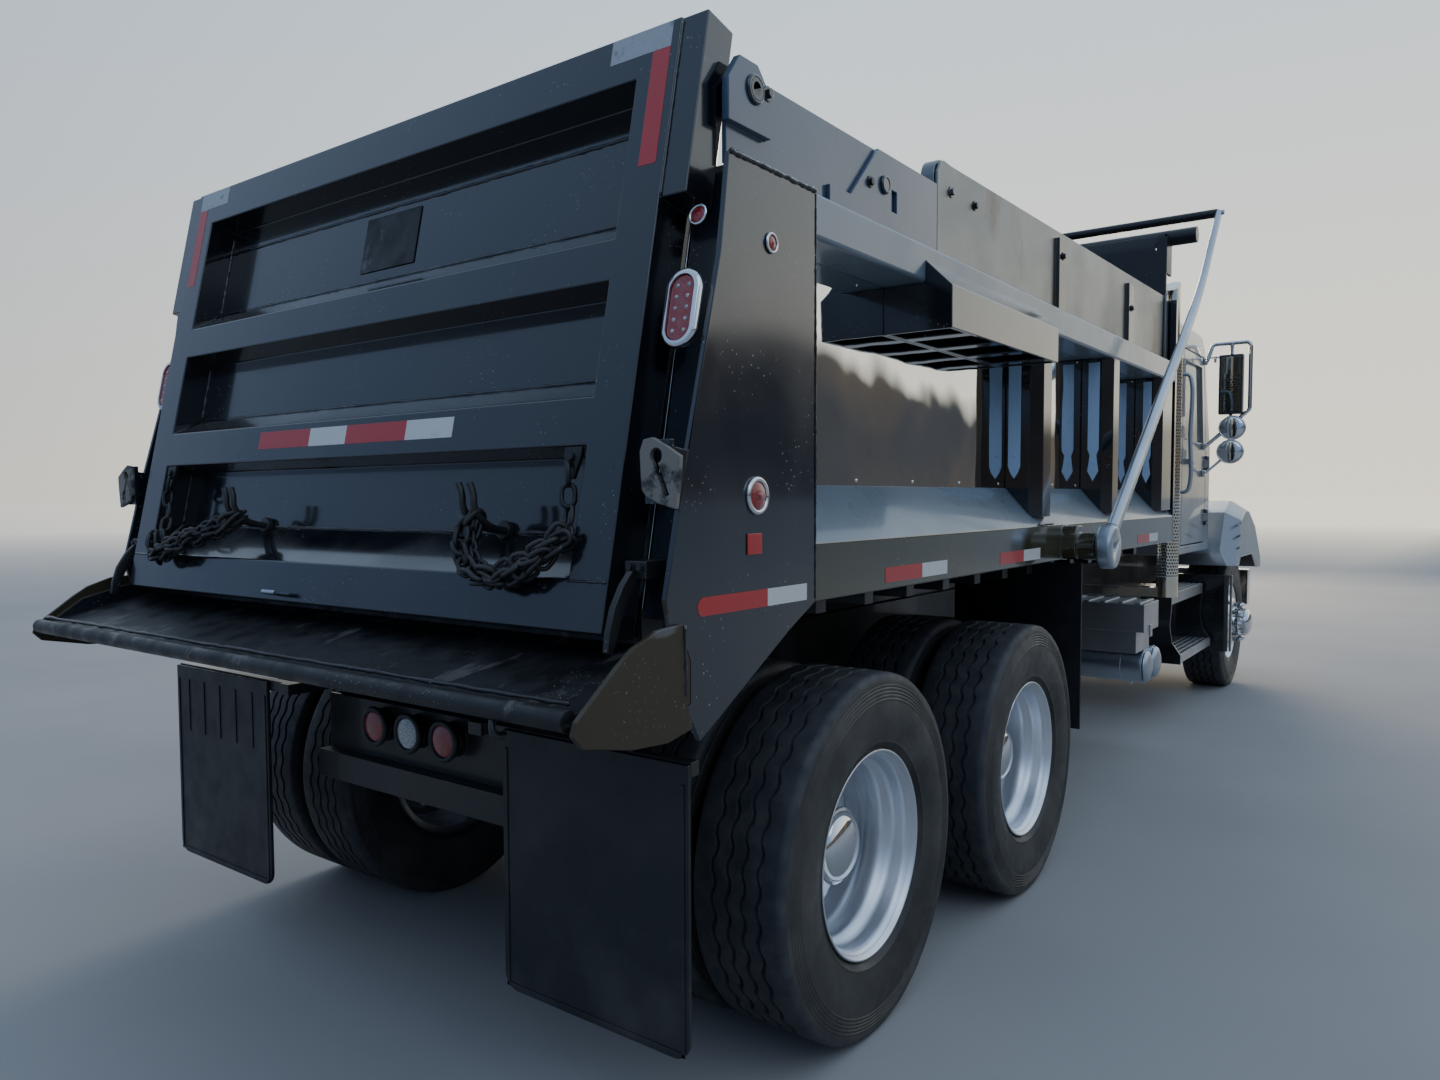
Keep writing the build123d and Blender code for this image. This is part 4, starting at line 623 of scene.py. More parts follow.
def floor_finish():
    """Pale concrete that fades into the sky's own colour far ahead of the truck."""
    material, tree = start_material("pale_floor", {"Roughness": 0.85, "Specular IOR Level": 0.1})
    near = blend(ramp(noise(tree, 0.6, 4), 0.3, 0.7), (0.35, 0.345, 0.34), (0.39, 0.38, 0.37))
    place = node(tree, "ShaderNodeTexCoord").outputs["Object"]
    distance = node(tree, "ShaderNodeVectorMath", {0: place}, operation="LENGTH").outputs["Value"]
    way = node(tree, "ShaderNodeVectorMath", {0: place}, operation="NORMALIZE").outputs["Vector"]
    forward, aside, _ = split(way)
    far = times(ramp(distance, 13, 55), ramp(aside, -0.14, -0.04))
    give(material, {"Base Color": blend(far, near, (0, 0, 0)),
                    "Emission Color": blend(ramp(forward, -0.45, 0.8), behind_horizon, ahead_horizon),
                    "Emission Strength": ramp(far, 0, 1, 0, sky_strength)})
    return material


def perforated_finish():
    """Chrome guard round the stack, pierced by rows of small holes painted dark as the shade in them, with
    patches of painted gold glint.
    """
    holes_around = 24
    row_height = 0.021
    centre = at(4.59, -1.015, 0)
    material, tree = start_material("pierced_chrome")
    x, y, z = position(tree)
    turn = sum_up("ARCTAN2", sum_up("SUBTRACT", y, centre.y), sum_up("SUBTRACT", x, centre.x))
    around = times(turn, holes_around / (2 * math.pi))
    up = times(z, 1 / row_height)
    shifted = sum_up("ADD", around, times(sum_up("FLOOR", up), 0.5))
    parts = [sum_up("SUBTRACT", sum_up("FRACT", value), 0.5) for value in (shifted, up)]
    reach = sum_up("ADD", *[times(part, part) for part in parts])
    band = times(height_share(tree, 1.01, 1.02), height_share(tree, 2.51, 2.5))
    # The holes are painted near-black as the shade inside them.
    hole = times(ramp(reach, 0.115, 0.075), band)
    # Patches of warm gold in the chrome's colour: a painted glint of the warm light.
    painted_gold_glint = blend(ramp(noise(tree, 4, 3), 0.3, 0.7), (0.86, 0.74, 0.52), (0.8, 0.8, 0.8))
    give(material, {"Metallic": ramp(hole, 0, 1, 1, 0)})
    return covered(material, blend(hole, painted_gold_glint, (0.006, 0.006, 0.007)), ramp(hole, 0, 1, 0.08, 0.7),
                   ramp(hole, 0, 1, 1, 0), 0.8, 0.003)


gloss_black = painted("gloss_black_paint", (0.006, 0.0075, 0.011), (0.1, 0.09, 0.075))
# The blue tint in this black paint is a painted reflection of the sky on the corner posts.
side_black = painted("side_black_paint", (0.011, 0.016, 0.025), (0.11, 0.105, 0.09), specks=0.9)
frame_black = painted("frame_black_paint", (0.012, 0.012, 0.013), (0.12, 0.11, 0.095), (0.3, 0.5), 0.6,
                      coat=0.2)
# Pale blue-grey base on the rails: a painted reflection of the sky, and dust, on black paint.
rail_black = painted("dust_and_painted_sky_rail_paint", (0.155, 0.2, 0.24), (0.22, 0.22, 0.21), (0.26, 0.42), specks=0.2,
                     wave=0.0006, coat=0.5)
# Blue base on the rear boards: a painted reflection of the sky, and dust, on black paint.
board_black = painted("rear_board_paint", (0.055, 0.085, 0.135), (0.16, 0.15, 0.14), (0.22, 0.36),
                      specks=0.2, wave=0.0006, coat=0.6)
# Brown tint on the rails' skirt: a painted reflection of the sunlit ground on black paint.
skirt_black = painted("skirt_paint", (0.048, 0.042, 0.02), (0.12, 0.11, 0.07), specks=0.6)
# Brown-gold base on the corner wings: a painted reflection of the sunlit ground on black paint.
wing_black = worn_paint("wing_paint", (0.045, 0.034, 0.016), (0.12, 0.12, 0.115), 0.6)
apron_black = worn_paint("worn_apron_paint", (0.012, 0.012, 0.013), (0.09, 0.085, 0.08), 0.6)
scraped_steel = worn_paint("scraped_steel", (0.035, 0.034, 0.033), (0.22, 0.2, 0.17), 0.45)
# Blue-white base on the post strips: a painted reflection of the sky on polished steel.
strip_metal = worn_paint("pale_strip", (0.38, 0.52, 0.72), (0.44, 0.52, 0.62), 0.7)
bed_floor_steel = worn_paint("scraped_bed_floor", (0.06, 0.05, 0.045), (0.26, 0.24, 0.21), 0.42)
mirror_steel = bright_metal("polished_panel", (0.84, 0.85, 0.85), (0.012, 0.035), (1, 1, 0.1), 0.012, 0.9,
                            grain_height=0.002)
board_steel = bright_metal("brushed_board", (0.235, 0.245, 0.25), (0.24, 0.4), (0.06, 1, 1), 0.002, 0.5,
                           (0.1, 0.062, 0.035))
strap_metal = bright_metal("dark_strap", (0.15, 0.145, 0.13), (0.1, 0.24), (1, 1, 0.2), 0.002, 0.8,
                           (0.3, 0.19, 0.06))
satin_aluminium = bright_metal("satin_aluminium", (0.52, 0.58, 0.66), (0.3, 0.44), (0.2, 1, 1), 0.001, 0.2)
tread_plate = bright_metal("ribbed_aluminium", (0.52, 0.53, 0.54), (0.3, 0.5), (0.3, 1, 1), 0.001, 0.2)
rim_metal = bright_metal("polished_rim", (0.9, 0.92, 0.96), (0.3, 0.44), (1, 0.2, 1), 0.001, 0.3)
chrome = bright_metal("chrome_plate", (0.86, 0.87, 0.88), (0.03, 0.08), (1, 1, 1), 0.0004, 0.3)
hoist_steel = bright_metal("ground_steel", (0.52, 0.53, 0.55), (0.12, 0.25), (1, 1, 0.1), 0.0006, 0.1)
dim_glass = bright_metal("dim_mirror_glass", (0.2, 0.23, 0.25), (0.02, 0.05), (1, 1, 1), 0.0002, 0.2)
mirror_glass = bright_metal("mirror_glass", (0.86, 0.88, 0.9), (0.01, 0.03), (1, 1, 1), 0.0002, 0.2)
pierced_chrome = perforated_finish()
tread_rubber = tyre_finish("tread_rubber", (18, 0.4, 0.75), ((0.036, 0.038, 0.045), (0.075, 0.073, 0.073)),
                           (30, 0.5, 0.72), (300, 0.35, 0.0008))
wall_rubber = tyre_finish("sidewall_rubber", (6, 0.35, 0.7), ((0.028, 0.026, 0.025), (0.075, 0.068, 0.06)),
                          (22, 0.38, 0.58), (160, 0.25, 0.0005))
flap_rubber = flap_finish()
axle_black = casting_finish("axle_casting", (0.02, 0.02, 0.021), (0.075, 0.068, 0.058))
engine_iron = casting_finish("engine_casting", (0.07, 0.07, 0.072), (0.12, 0.11, 0.1))
core_finish = casting_finish("radiator_core", (0.05, 0.05, 0.052), (0.09, 0.085, 0.08), 0.5)
chain_black = casting_finish("chain_paint", (0.012, 0.012, 0.014), (0.06, 0.055, 0.05), 0.35)
cab_paint = silver_paint()
window_glass = glass_finish()
cab_trim = plastic_finish("cab_trim", (0.04, 0.04, 0.043), 0.6)
mirror_shell = plastic_finish("mirror_shell", (0.03, 0.033, 0.035), 0.34)
red_lens = lens_finish("red_lens", (0.55, 0.012, 0.02))
clear_lens = lens_finish("clear_lens", (0.78, 0.8, 0.82), 180)
red_tape = tape_finish("red_tape", (0.46, 0.01, 0.014))
white_tape = tape_finish("white_tape", (0.62, 0.62, 0.6))
worn_tape = tape_finish("worn_white_tape", (0.34, 0.35, 0.37), 0.8)

# Every finish with the CAD nodes that wear it, and the edge width of the copy that stands for each
finishes = (
    (frame_black, {"frame_rails": 0.002, "rear_lamp_bar": 0.003, "bed_sills": 0.003, "tarp_housing": 0.002,
                   "hoist_barrel": 0.004}),
    (axle_black, {"front_axle": 0.004, "drive_axles": 0.005, "suspension": 0.002, "knuckle_left": 0.003,
                  "knuckle_right": 0.003}),
    (engine_iron, {"engine_block": 0.012}),
    (core_finish, {"radiator": 0.003}),
    (satin_aluminium, {"fuel_and_air_tanks": 0.003}),
    (tread_plate, {"battery_box": 0.003, "cab_steps": 0.002}),
    (pierced_chrome, {"exhaust_stack": 0.001}),
    (chrome, {"front_bumper": 0.004, "grille": 0.002}),
    (flap_rubber, {"mud_flaps": 0.002}),
    (cab_paint, {"cab_shell": 0.008, "hood_shell": 0.006, "door_left": 0.004, "door_right": 0.004}),
    (cab_trim, {"cab_interior": 0.02}),
    (clear_lens, {"headlamps": 0.004}),
    (mirror_shell, {"mirrors_left": 0.006, "mirrors_right": 0.006}),
    (bed_floor_steel, {"bed_floor": 0.0}),
    (mirror_steel, {"side_sheets": 0.001}),
    (rail_black, {"lower_rails": 0.004, "top_rails": 0.004}),
    (gloss_black, {"side_posts": 0.004, "front_wall": 0.004, "side_box": 0.003, "tailgate": 0.004}),
    (board_steel, {"sideboards": 0.002}),
    (side_black, {"corner_posts": 0.002}),
    (apron_black, {"rear_apron": 0.002}),
    (hoist_steel, {"hoist_stage_1": 0.002, "hoist_stage_2": 0.002, "hoist_rod": 0.003}),
)


def second_finishes(made):
    """Pieces that are painted in two finishes: boards, rails, corners, steps and mirrors."""
    def on_strap(centre):
        return abs(centre.y) > 1.1705 and min(abs(centre.x - at(x, 0, 0).x) for x in (1.72, 2.84)) < 0.125

    def on_tube(centre):
        y = abs(centre.y)
        in_head = 1.1 < y < 1.265 and 2.13 < centre.z < 2.57
        return not in_head and min(math.hypot(y - reach, centre.z - z) for reach, z in round_mirrors) > 0.092

    def beside_treads(centre):
        return abs(centre.y) > 0.8 and not (0.422 < centre.z < 0.476 or 0.812 < centre.z < 0.883)

    # The rear board, the rails' skirt and the corner wings get base colours with painted reflections.
    rows = (("sideboards", board_black, lambda centre: centre.x < at(0.449, 0, 0).x),
            ("sideboards", strap_metal, on_strap),
            # The skirt's brown is a painted reflection of the sunlit ground.
            ("lower_rails", skirt_black, lambda centre: centre.z < 1.4275),
            # The wing's brown-gold is a painted reflection of the sunlit ground.
            ("corner_posts", wing_black, lambda centre: centre.x < at(-0.9, 0, 0).x and centre.z < 1.33),
            ("cab_steps", gloss_black, beside_treads),
            ("mirrors_left", chrome, on_tube),
            ("mirrors_right", chrome, on_tube))
    for name, material, chosen in rows:
        mesh = made[name].data
        mesh.materials.append(material)
        for face in mesh.polygons:
            if chosen(face.center):
                face.material_index = len(mesh.materials) - 1


def finish_nodes():
    made = {}
    for material, widths in finishes:
        for name, width in widths.items():
            made[name] = softened(name, material, width)
    second_finishes(made)
    for name in ("cab_glass", "door_glass_left", "door_glass_right"):
        coated(frame["nodes"][name], window_glass)


# Tyres

def tyre_profile():
    """Half the section from the bead's inner edge over the sidewall, mirrored to the other half."""
    crown = tyre_radius
    wall = [(0.2845, -0.111), (0.3, -0.113), (0.306, -0.122), (0.318, -0.13), (0.3205, -0.1345),
            (0.3255, -0.1345), (0.33, -0.1355), (0.365, -0.145), (0.405, 0.0005 - tyre_width / 2),
            (0.437, -0.1485)]
    for index in range(5):
        start = 0.44 + 0.01 * index
        base = -0.148 + 0.0012 * index
        wall += [(start, base), (start + 0.002, base - 0.0016), (start + 0.0055, base - 0.0012),
                 (start + 0.0075, base + 0.0006)]
    wall += [(0.494, -0.1425), (crown - 0.02, -0.1405), (crown - 0.01, -0.137), (crown - 0.003, -0.129),
             (crown - 0.0008, -0.118)]
    tread = []
    for offset in groove_offsets:
        lip = groove_half + 0.001
        foot = groove_half * 0.6
        tread += [(crown, offset - lip), (crown - groove_depth, offset - foot),
                  (crown - groove_depth, offset + foot), (crown, offset + lip)]
    return wall + tread + [(radius, -along) for radius, along in reversed(wall)]


def tyre():
    """A tyre about the Y axis at the origin, with zigzag grooves round the tread."""
    across = Matrix.Rotation(math.radians(-90), 4, "X")
    piece = spun("tyre", tyre_profile(), across, tread_steps, 32)
    step = 2 * math.pi / tread_steps
    for vertex in piece.data.vertices:
        x, y, z = vertex.co
        if math.hypot(x, z) > tyre_radius - 0.02 and abs(y) < 0.09:
            vertex.co.y += zigzag if round(math.atan2(z, x) / step) % 4 < 2 else -zigzag
    coated(piece, wall_rubber, tread_rubber)
    for face in piece.data.polygons:
        centre = face.center
        if math.hypot(centre.x, centre.z) > tyre_radius - 0.018 and abs(centre.y) < 0.139:
            face.material_index = 1
    return piece


def place_tyres():
    master = tyre()

    def placed(name, x, y):
        return copied(master, name, Matrix.Translation((x, y, tyre_radius)))

    for side, sign in sides:
        for label, x in twin_axles:
            name = f"tyres_{label}_{side}"
            low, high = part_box(name)
            near = min(abs(low.y), abs(high.y)) + tyre_width / 2
            far = max(abs(low.y), abs(high.y)) - tyre_width / 2
            both = joined(f"{name}_treaded", [placed("tyre_copy", x, sign * y) for y in (near, far)])
            dressed(both, f"wheels_{label}_{side}", "tyre_rubber", stands_for=name)
        name = f"tyre_front_{side}"
        low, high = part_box(name)
        single = placed(f"{name}_treaded", front_axle, (low.y + high.y) / 2)
        dressed(single, f"wheel_front_{side}", "tyre_rubber", stands_for=name)
    bpy.data.objects.remove(master)


# Wheels

def wheel_matrix(x, sign):
    """A wheel's axis, pointing out from the truck's middle at an axle."""
    return Matrix.Translation((x, 0, tyre_radius)) @ Matrix.Rotation(math.radians(-90 * sign), 4, "X")


def barrel(outer_face, matrix):
    """A polished barrel with a rolled lip, a drop well and a plain inner lip."""
    section = [(0.2978, 0.1255), (0.2952, 0.127), (0.2925, 0.1262), (0.2905, 0.1235), (0.289, 0.1195),
               (0.2868, 0.1175), (0.2855, 0.112), (0.279, 0.106), (0.2745, 0.098), (0.2728, 0.088),
               (0.2722, 0.064), (0.27, 0.052), (0.264, 0.042), (0.256, 0.033), (0.2515, 0.02), (0.25, 0.005),
               (0.2508, -0.012), (0.255, -0.028), (0.263, -0.042), (0.27, -0.054), (0.2722, -0.068),
               (0.2722, -0.112), (0.286, -0.119), (0.2952, -0.127), (0.2978, -0.124), (0.2978, -0.112),
               (0.2838, -0.1115), (0.2838, 0.1115), (0.2978, 0.112)]
    middle = outer_face - rim_half
    return spun("barrel", [(radius, middle + along) for radius, along in section], matrix, 96)


def wheel_disc(face, edge, matrix, holes=10):
    """The dished disc with its hand holes."""
    rise = edge - face
    front = [(0.095, face), (0.168, face), (0.182, face + rise * 0.08), (0.205, face + rise * 0.3),
             (0.232, face + rise * 0.62), (0.252, face + rise * 0.9), (0.2725, edge)]
    back = [(radius, along - 0.012) for radius, along in reversed(front)]
    disc = spun("disc", front + back, Matrix.Identity(4), 96)
    cutters = []
    reach = Vector((0, 0, 0.1))
    for index in range(holes):
        turn = 2 * math.pi * (index + 0.5) / holes
        centre = Vector((0.212 * math.cos(turn), 0.212 * math.sin(turn), face + rise * 0.4))
        cutters.append(bar("cutter", centre - reach, centre + reach, 0.026, 24))
    cut_away(disc, joined("cutters", cutters))
    return settle(disc, "disc", matrix)


def chrome_hub(base, reach, matrix):
    """A chrome cylinder with a rolled rim and a domed cap."""
    wall = 0.108
    profile = [(0, base), (0.125, base), (0.125, base + 0.006), (wall + 0.004, base + 0.01),
               (wall, base + 0.018), (wall, reach - 0.052), (wall + 0.003, reach - 0.05),
               (wall + 0.0045, reach - 0.045), (wall + 0.003, reach - 0.04), (wall - 0.002, reach - 0.039)]
    for step in range(9):
        turn = math.radians(90 * step / 8)
        profile.append(((wall - 0.006) * math.cos(turn), reach - 0.038 + 0.038 * math.sin(turn)))
    return spun("hub", profile, matrix, 72)


def lug_nuts(face, radius, matrix, spiked, count=10):
    """Wheel nuts in a circle, each a hexagon under a chromed cap."""
    nuts = []
    up = Vector((0, 0, 1))
    for index in range(count):
        turn = 2 * math.pi * index / count
        foot = Vector((radius * math.cos(turn), radius * math.sin(turn), face))
        nuts.append(bar("nut", foot, foot + up * 0.022, 0.0185, 6, 0.003))
        if not spiked:
            nuts.append(dome("cap", foot + up * 0.02, up, 0.016, 0.012, 20))
            continue
        nuts.append(bar("cap", foot + up * 0.018, foot + up * 0.05, 0.016, 20, 0.003))
        clear()
        bpy.ops.mesh.primitive_cone_add(vertices=20, radius1=0.017, radius2=0.003, depth=0.03,
                                        location=foot + up * 0.062)
        spike = settle(bpy.context.object, "spike")
        round_edges(spike, 0.002, 2, 40)
        nuts.append(spike)
    return settle(joined("nuts", nuts), "nuts", matrix)


def place_rims():
    def placed(name, wheel, body, rims, hub):
        group(f"{name}_polished", rims, body, "rim_aluminium", rim_metal, stands_for=name)
        group(f"hub_{wheel}_chrome", hub, body, "chrome", chrome)

    for side, sign in sides:
        for label, x in twin_axles:
            matrix = wheel_matrix(x, sign)
            name = f"rims_{label}_{side}"
            reaches = [abs(corner.y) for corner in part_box(name)]
            outer = max(reaches)
            inner = min(reaches) + 2 * rim_half
            rims = [barrel(outer, matrix), barrel(inner, matrix),
                    wheel_disc(outer - 0.288, outer - 0.24, matrix),
                    wheel_disc(inner + 0.022, inner - 0.03, matrix)]
            hub = [chrome_hub(outer - 0.29, 1.128, matrix), lug_nuts(outer - 0.287, 0.145, matrix, False)]
            placed(name, f"{label}_{side}", f"wheels_{label}_{side}", rims, hub)
        matrix = wheel_matrix(front_axle, sign)
        outer = sum(abs(corner.y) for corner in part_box(f"tyre_front_{side}")) / 2 + rim_half
        rims = [barrel(outer, matrix), wheel_disc(outer + 0.03, outer - 0.06, matrix)]
        hub = [chrome_hub(outer + 0.02, 1.235, matrix), lug_nuts(outer + 0.031, 0.143, matrix, True)]
        placed(f"rim_front_{side}", f"front_{side}", f"wheel_front_{side}", rims, hub)


# Tailgate

gate_lean = math.radians(12.02)
gate_top = at(-0.732, 0, 2.629)
gate_down = Vector((-math.sin(gate_lean), 0, -math.cos(gate_lean)))
gate_out = Vector((-math.cos(gate_lean), 0, math.sin(gate_lean)))
skin_depth = -0.09
open_half = 0.964


def on_gate(across, down, out=0.0):
    """A place on the tailgate: across to the right, down the slope, and out from its face."""
    return gate_top - Vector((0, across, 0)) + gate_down * down + gate_out * out


def gate_matrix(across=0.0, down=0.0, out=0.0):
    turn = Matrix(((0, -1, 0), tuple(-gate_down), tuple(gate_out))).transposed().to_4x4()
    return Matrix.Translation(on_gate(across, down, out)) @ turn


def tailgate_tapes():
    """Strips of tape, each between two distances across and two down the gate's face."""
    band = (-0.952, -0.899)
    rows = [("tape_left_end", -0.4, -0.132, *band, red_tape),
            ("tape_second", -0.132, 0.046, *band, white_tape),
            ("tape_third", 0.046, 0.312, *band, red_tape),
            ("tape_right_end", 0.312, 0.5, *band, white_tape)]
    for side, sign in sides:
        for label, near, low, high, material in (("post", 1.007, -0.346, -0.066, red_tape),
                                                 ("corner", 0.876, -0.0655, -0.004, worn_tape)):
            across = sorted((-sign * near, -sign * 1.058))
            rows.append((f"{label}_tape_{side}", *across, low, high, material))
    for name, x0, x1, y0, y1, material in rows:
        corners = [(x0, y0), (x1, y0), (x1, y1), (x0, y1)]
        piece = plate(f"gate_{name}", corners, gate_matrix(), tape_thickness, 0.0)
        dressed(piece, "tailgate", "board_metal", material)


def tailgate_welds():
    """Weld beads along the ribs, across the skin and down both sides of the recess."""
    reach = open_half - 0.006
    beads = [weld("bead", on_gate(-reach, down, skin_depth), on_gate(reach, down, skin_depth), 0.0045)
             for down in (0.202, 0.428, 0.81, 1.175)]
    for sign in (-1, 1):
        edge = sign * open_half
        for downs in ((0.125, 0.425), (0.615, 0.806), (0.995, 1.172)):
            ends = [on_gate(edge, down, skin_depth) for down in downs]
            beads.append(weld("bead", *ends, 0.005))
        beads.append(weld("bead", on_gate(edge, 1.293), on_gate(sign * 1.075, 1.293), 0.0035))
        cap = sign * 1.081
        beads.append(weld("bead", on_gate(cap, 0.01, -0.004), on_gate(cap, 0.428, -0.004), 0.003))
    group("gate_weld_beads", beads, "tailgate", "black_gloss", gloss_black)


def blank_plate():
    """The square blank plate welded on the skin, and the small pull by the gate's foot."""
    piece = plate("gate_blank_plate", [(0, 0), (0.255, 0), (0.255, 0.172), (0, 0.172)],
                  gate_matrix(-0.152, 0.395, skin_depth), 0.004, 0.001)
    dressed(piece, "tailgate", "black_gloss", apron_black)
    stub = bar("stub", on_gate(-0.165, 1.382), on_gate(-0.165, 1.382, 0.045), 0.007, 16, 0.002)
    tip = bar("tip", on_gate(-0.172, 1.382, 0.04), on_gate(-0.11, 1.382, 0.04), 0.007, 16, 0.003)
    group("gate_pull_stub", [stub, tip], "tailgate", "polished_steel", satin_aluminium)


def chain_link():
    """One oval link lying in the XY plane, long in X."""
    clear()
    bpy.ops.mesh.primitive_torus_add(major_radius=0.016, minor_radius=0.006, major_segments=16,
                                     minor_segments=8)
    piece = bpy.context.object
    for vertex in piece.data.vertices:
        if abs(vertex.co.x) > 0.002:
            vertex.co.x += math.copysign(0.009, vertex.co.x)
    bpy.ops.object.shade_smooth()
    return piece


def smooth_path(knots, count):
    """Evenly spaced points along a curve through the given points."""
    dense = []
    for index in range(len(knots) - 1):
        before = knots[max(index - 1, 0)]
        after = knots[min(index + 2, len(knots) - 1)]
        a, b = (knots[index], knots[index + 1])
        for step in range(12):
            t = step / 12
            dense.append(0.5 * (2 * a + (b - before) * t + (2 * before - 5 * a + 4 * b - after) * t * t
                                + (3 * a - before - 3 * b + after) * t ** 3))
    dense.append(knots[-1])
    lengths = [0.0]
    for first, second in zip(dense, dense[1:]):
        lengths.append(lengths[-1] + (second - first).length)
    spaced = []
    index = 0
    for step in range(count):
        target = lengths[-1] * step / (count - 1)
        while index < len(lengths) - 2 and lengths[index + 1] < target:
            index += 1
        span = max(lengths[index + 1] - lengths[index], 1e-9)
        spaced.append(dense[index].lerp(dense[index + 1], (target - lengths[index]) / span))
    return spaced


def chain_along(link, points, pitch, strands=1, spread=0.0, phase=0.0):
    """Links strung along a path in twisted strands."""
    count = max(3, int(sum((b - a).length for a, b in zip(points, points[1:])) / pitch))
    path = smooth_path(points, count)
    links = []
    for strand in range(strands):
        for index, centre in enumerate(path):
            along = (path[min(index + 1, count - 1)] - path[max(index - 1, 0)]).normalized()
            side = along.cross(gate_out).normalized()
            above = side.cross(along)
            turn = phase + strand * 2 * math.pi / strands + index * 0.8
            place = centre + (side * math.cos(turn) + above * math.sin(turn)) * spread
            roll = (index % 2) * math.pi / 2 + math.pi / 4 + 0.5 * math.sin(index * 2.3 + strand)
            lean = 0.35 * math.sin(index * 1.7 + strand * 2) if strands > 1 else 0.0
            axis = (along + side * lean).normalized()
            flat = axis.cross(above)
            basis = Matrix((axis, flat.normalized(), axis.cross(flat).normalized())).transposed().to_4x4()
            matrix = Matrix.Translation(place) @ basis @ Matrix.Rotation(roll, 4, "X")
            links.append(copied(link, "link", matrix))
    return links


def tailgate_chains():
    """Stowed chains: each hangs from a lug under the rib, and its slack is bundled over a forked horn."""
    link = chain_link()
    bundles = (
        ("right", 1, 0.655, 0.925, [(0.655, 1.165, 0.02), (0.65, 1.215, 0.035), (0.69, 1.275, 0.045),
                                    (0.77, 1.3, 0.05), (0.85, 1.28, 0.045), (0.905, 1.245, 0.035),
                                    (0.945, 1.205, 0.02)]),
        ("left", -1, -0.42, -0.925, [(-0.42, 1.167, 0.02), (-0.46, 1.193, 0.035), (-0.557, 1.225, 0.045),
                                     (-0.71, 1.264, 0.05), (-0.816, 1.296, 0.045), (-0.881, 1.245, 0.03)]),
    )
    for label, sign, horn, hook, curve in bundles:
        end_across, end_down, _ = curve[-1]
        pieces = chain_along(link, [on_gate(*point) for point in curve], 0.0235, 4, 0.0145, sign * 0.7)
        hanging = [on_gate(hook - sign * 0.005, 1.055), on_gate(hook, 1.1, -0.005),
                   on_gate((hook + end_across) / 2, 1.15, -0.005),
                   on_gate(end_across, end_down - 0.01, 0.01)]
        pieces += chain_along(link, hanging, 0.036)
        outline = [(-0.026, 0), (0.026, 0), (0.026, -0.02), (0.012, -0.072), (-0.012, -0.072),
                   (-0.026, -0.02)]
        pieces.append(plate("lug", outline, gate_matrix(hook, 0.992, -0.012), 0.012, 0.002, 2))
        pieces.append(bolt("pin", on_gate(hook, 1.016, -0.002), gate_out, 0.01))
        pieces.append(bar("foot", on_gate(horn, 1.172, skin_depth), on_gate(horn, 1.172, skin_depth + 0.02),
                          0.024, 20, 0.004))
        for offset in (-0.02, 0.02):
            across = horn + offset
            prong = [on_gate(horn + offset * 0.4, 1.175, skin_depth), on_gate(across, 1.168, 0.005),
                     on_gate(across, 1.14, 0.042), on_gate(across - 0.004, 1.108, 0.05),
                     on_gate(across - 0.016, 1.084, 0.054)]
            pieces.append(bent_rod("prong", prong, 0.0085, 24))
        group(f"gate_chain_{label}", pieces, "tailgate", "chain_steel", chain_black,
              stands_for="tailgate_chains")
    bpy.data.objects.remove(link)


# Rear corners

def round_lamp(name, centre, direction, radius):
    """A round red lamp in a rubber-seated chrome ring, with a hub moulded in its lens."""
    trim = ring("trim", centre + direction * 0.003, direction, radius * 1.06, radius * 0.17, 48, 12)
    lens = dome("lens", centre, direction, radius * 0.98, radius * 0.32)
    button = dome("button", centre + direction * radius * 0.29, direction, radius * 0.26, radius * 0.12, 20)
    piece = joined(name, [trim, lens, button])
    coated(piece, chrome, red_lens)
    for face in piece.data.polygons:
        away = face.center - centre
        flat = away - direction * away.dot(direction)
        face.material_index = 1 if flat.length < radius * 0.93 else 0
    return piece


def oval_lamp(name, matrix, half_length, half_width):
    """An oval stop lamp: chrome surround, red lens, and two columns of lit dots."""
    def oval(grow):
        points = []
        for step in range(32):
            turn = 2 * math.pi * step / 32
            lift = math.copysign(half_length - half_width, math.sin(turn))
            radius = half_width + grow
            points.append((radius * math.cos(turn), radius * math.sin(turn) + lift))
        return points

    trim = plate("trim", oval(0.012), Matrix.Identity(4), 0.022, 0.008, 3)
    cut_away(trim, plate("hole", oval(-0.002), Matrix.Translation((0, 0, 0.008)), 0.05, 0.0))
    lens = plate("lens", oval(-0.002), Matrix.Translation((0, 0, 0.004)), 0.013, 0.005, 3)
    dots = []
    for row in range(5):
        for column in (-1, 1):
            place = (column * half_width * 0.42, (row - 2) * half_length * 0.33, 0.0165)
            dots.append(dome("dot", place, (0, 0, 1), 0.005, 0.003, 12))
    pieces = ((trim, chrome), (lens, red_lens), (joined("dots", dots), clear_lens))
    for part, material in pieces:
        settle(part, "part", matrix)
        coated(part, material)
    return joined(name, [part for part, _ in pieces])


def corner_lamps():
    """Lamps and a reflector on the corners' sides, and the oval stop lamps on their rear faces."""
    both_sides(round_lamp("marker_lamp_right", at(-0.583, -1.221, 2.13), outward, 0.02), "lamp_red")
    both_sides(round_lamp("round_stop_lamp_right", at(-0.645, -1.221, 1.547), outward, 0.036), "lamp_red")
    reflector = plate("reflector_right", [(-0.03, -0.024), (0.03, -0.024), (0.03, 0.024), (-0.03, 0.024)],
                      side_plane(at(-0.655, side_face, 1.437)), 0.004)
    both_sides(reflector, "lamp_red", red_tape)
    for side, sign in sides:
        y = sign * 1.153
        matrix = plane_at(at(-0.822, y, 1.95) + gate_out * 0.001, outward, -gate_down)
        lamp = oval_lamp(f"oval_stop_lamp_{side}", matrix, 0.078, 0.036)
        dressed(lamp, "bed", "lamp_red", stands_for="bed_lamps")
        small = round_lamp(f"rear_marker_lamp_{side}", at(-0.772, y, 2.165), gate_out, 0.02)
        dressed(small, "bed", "lamp_red")


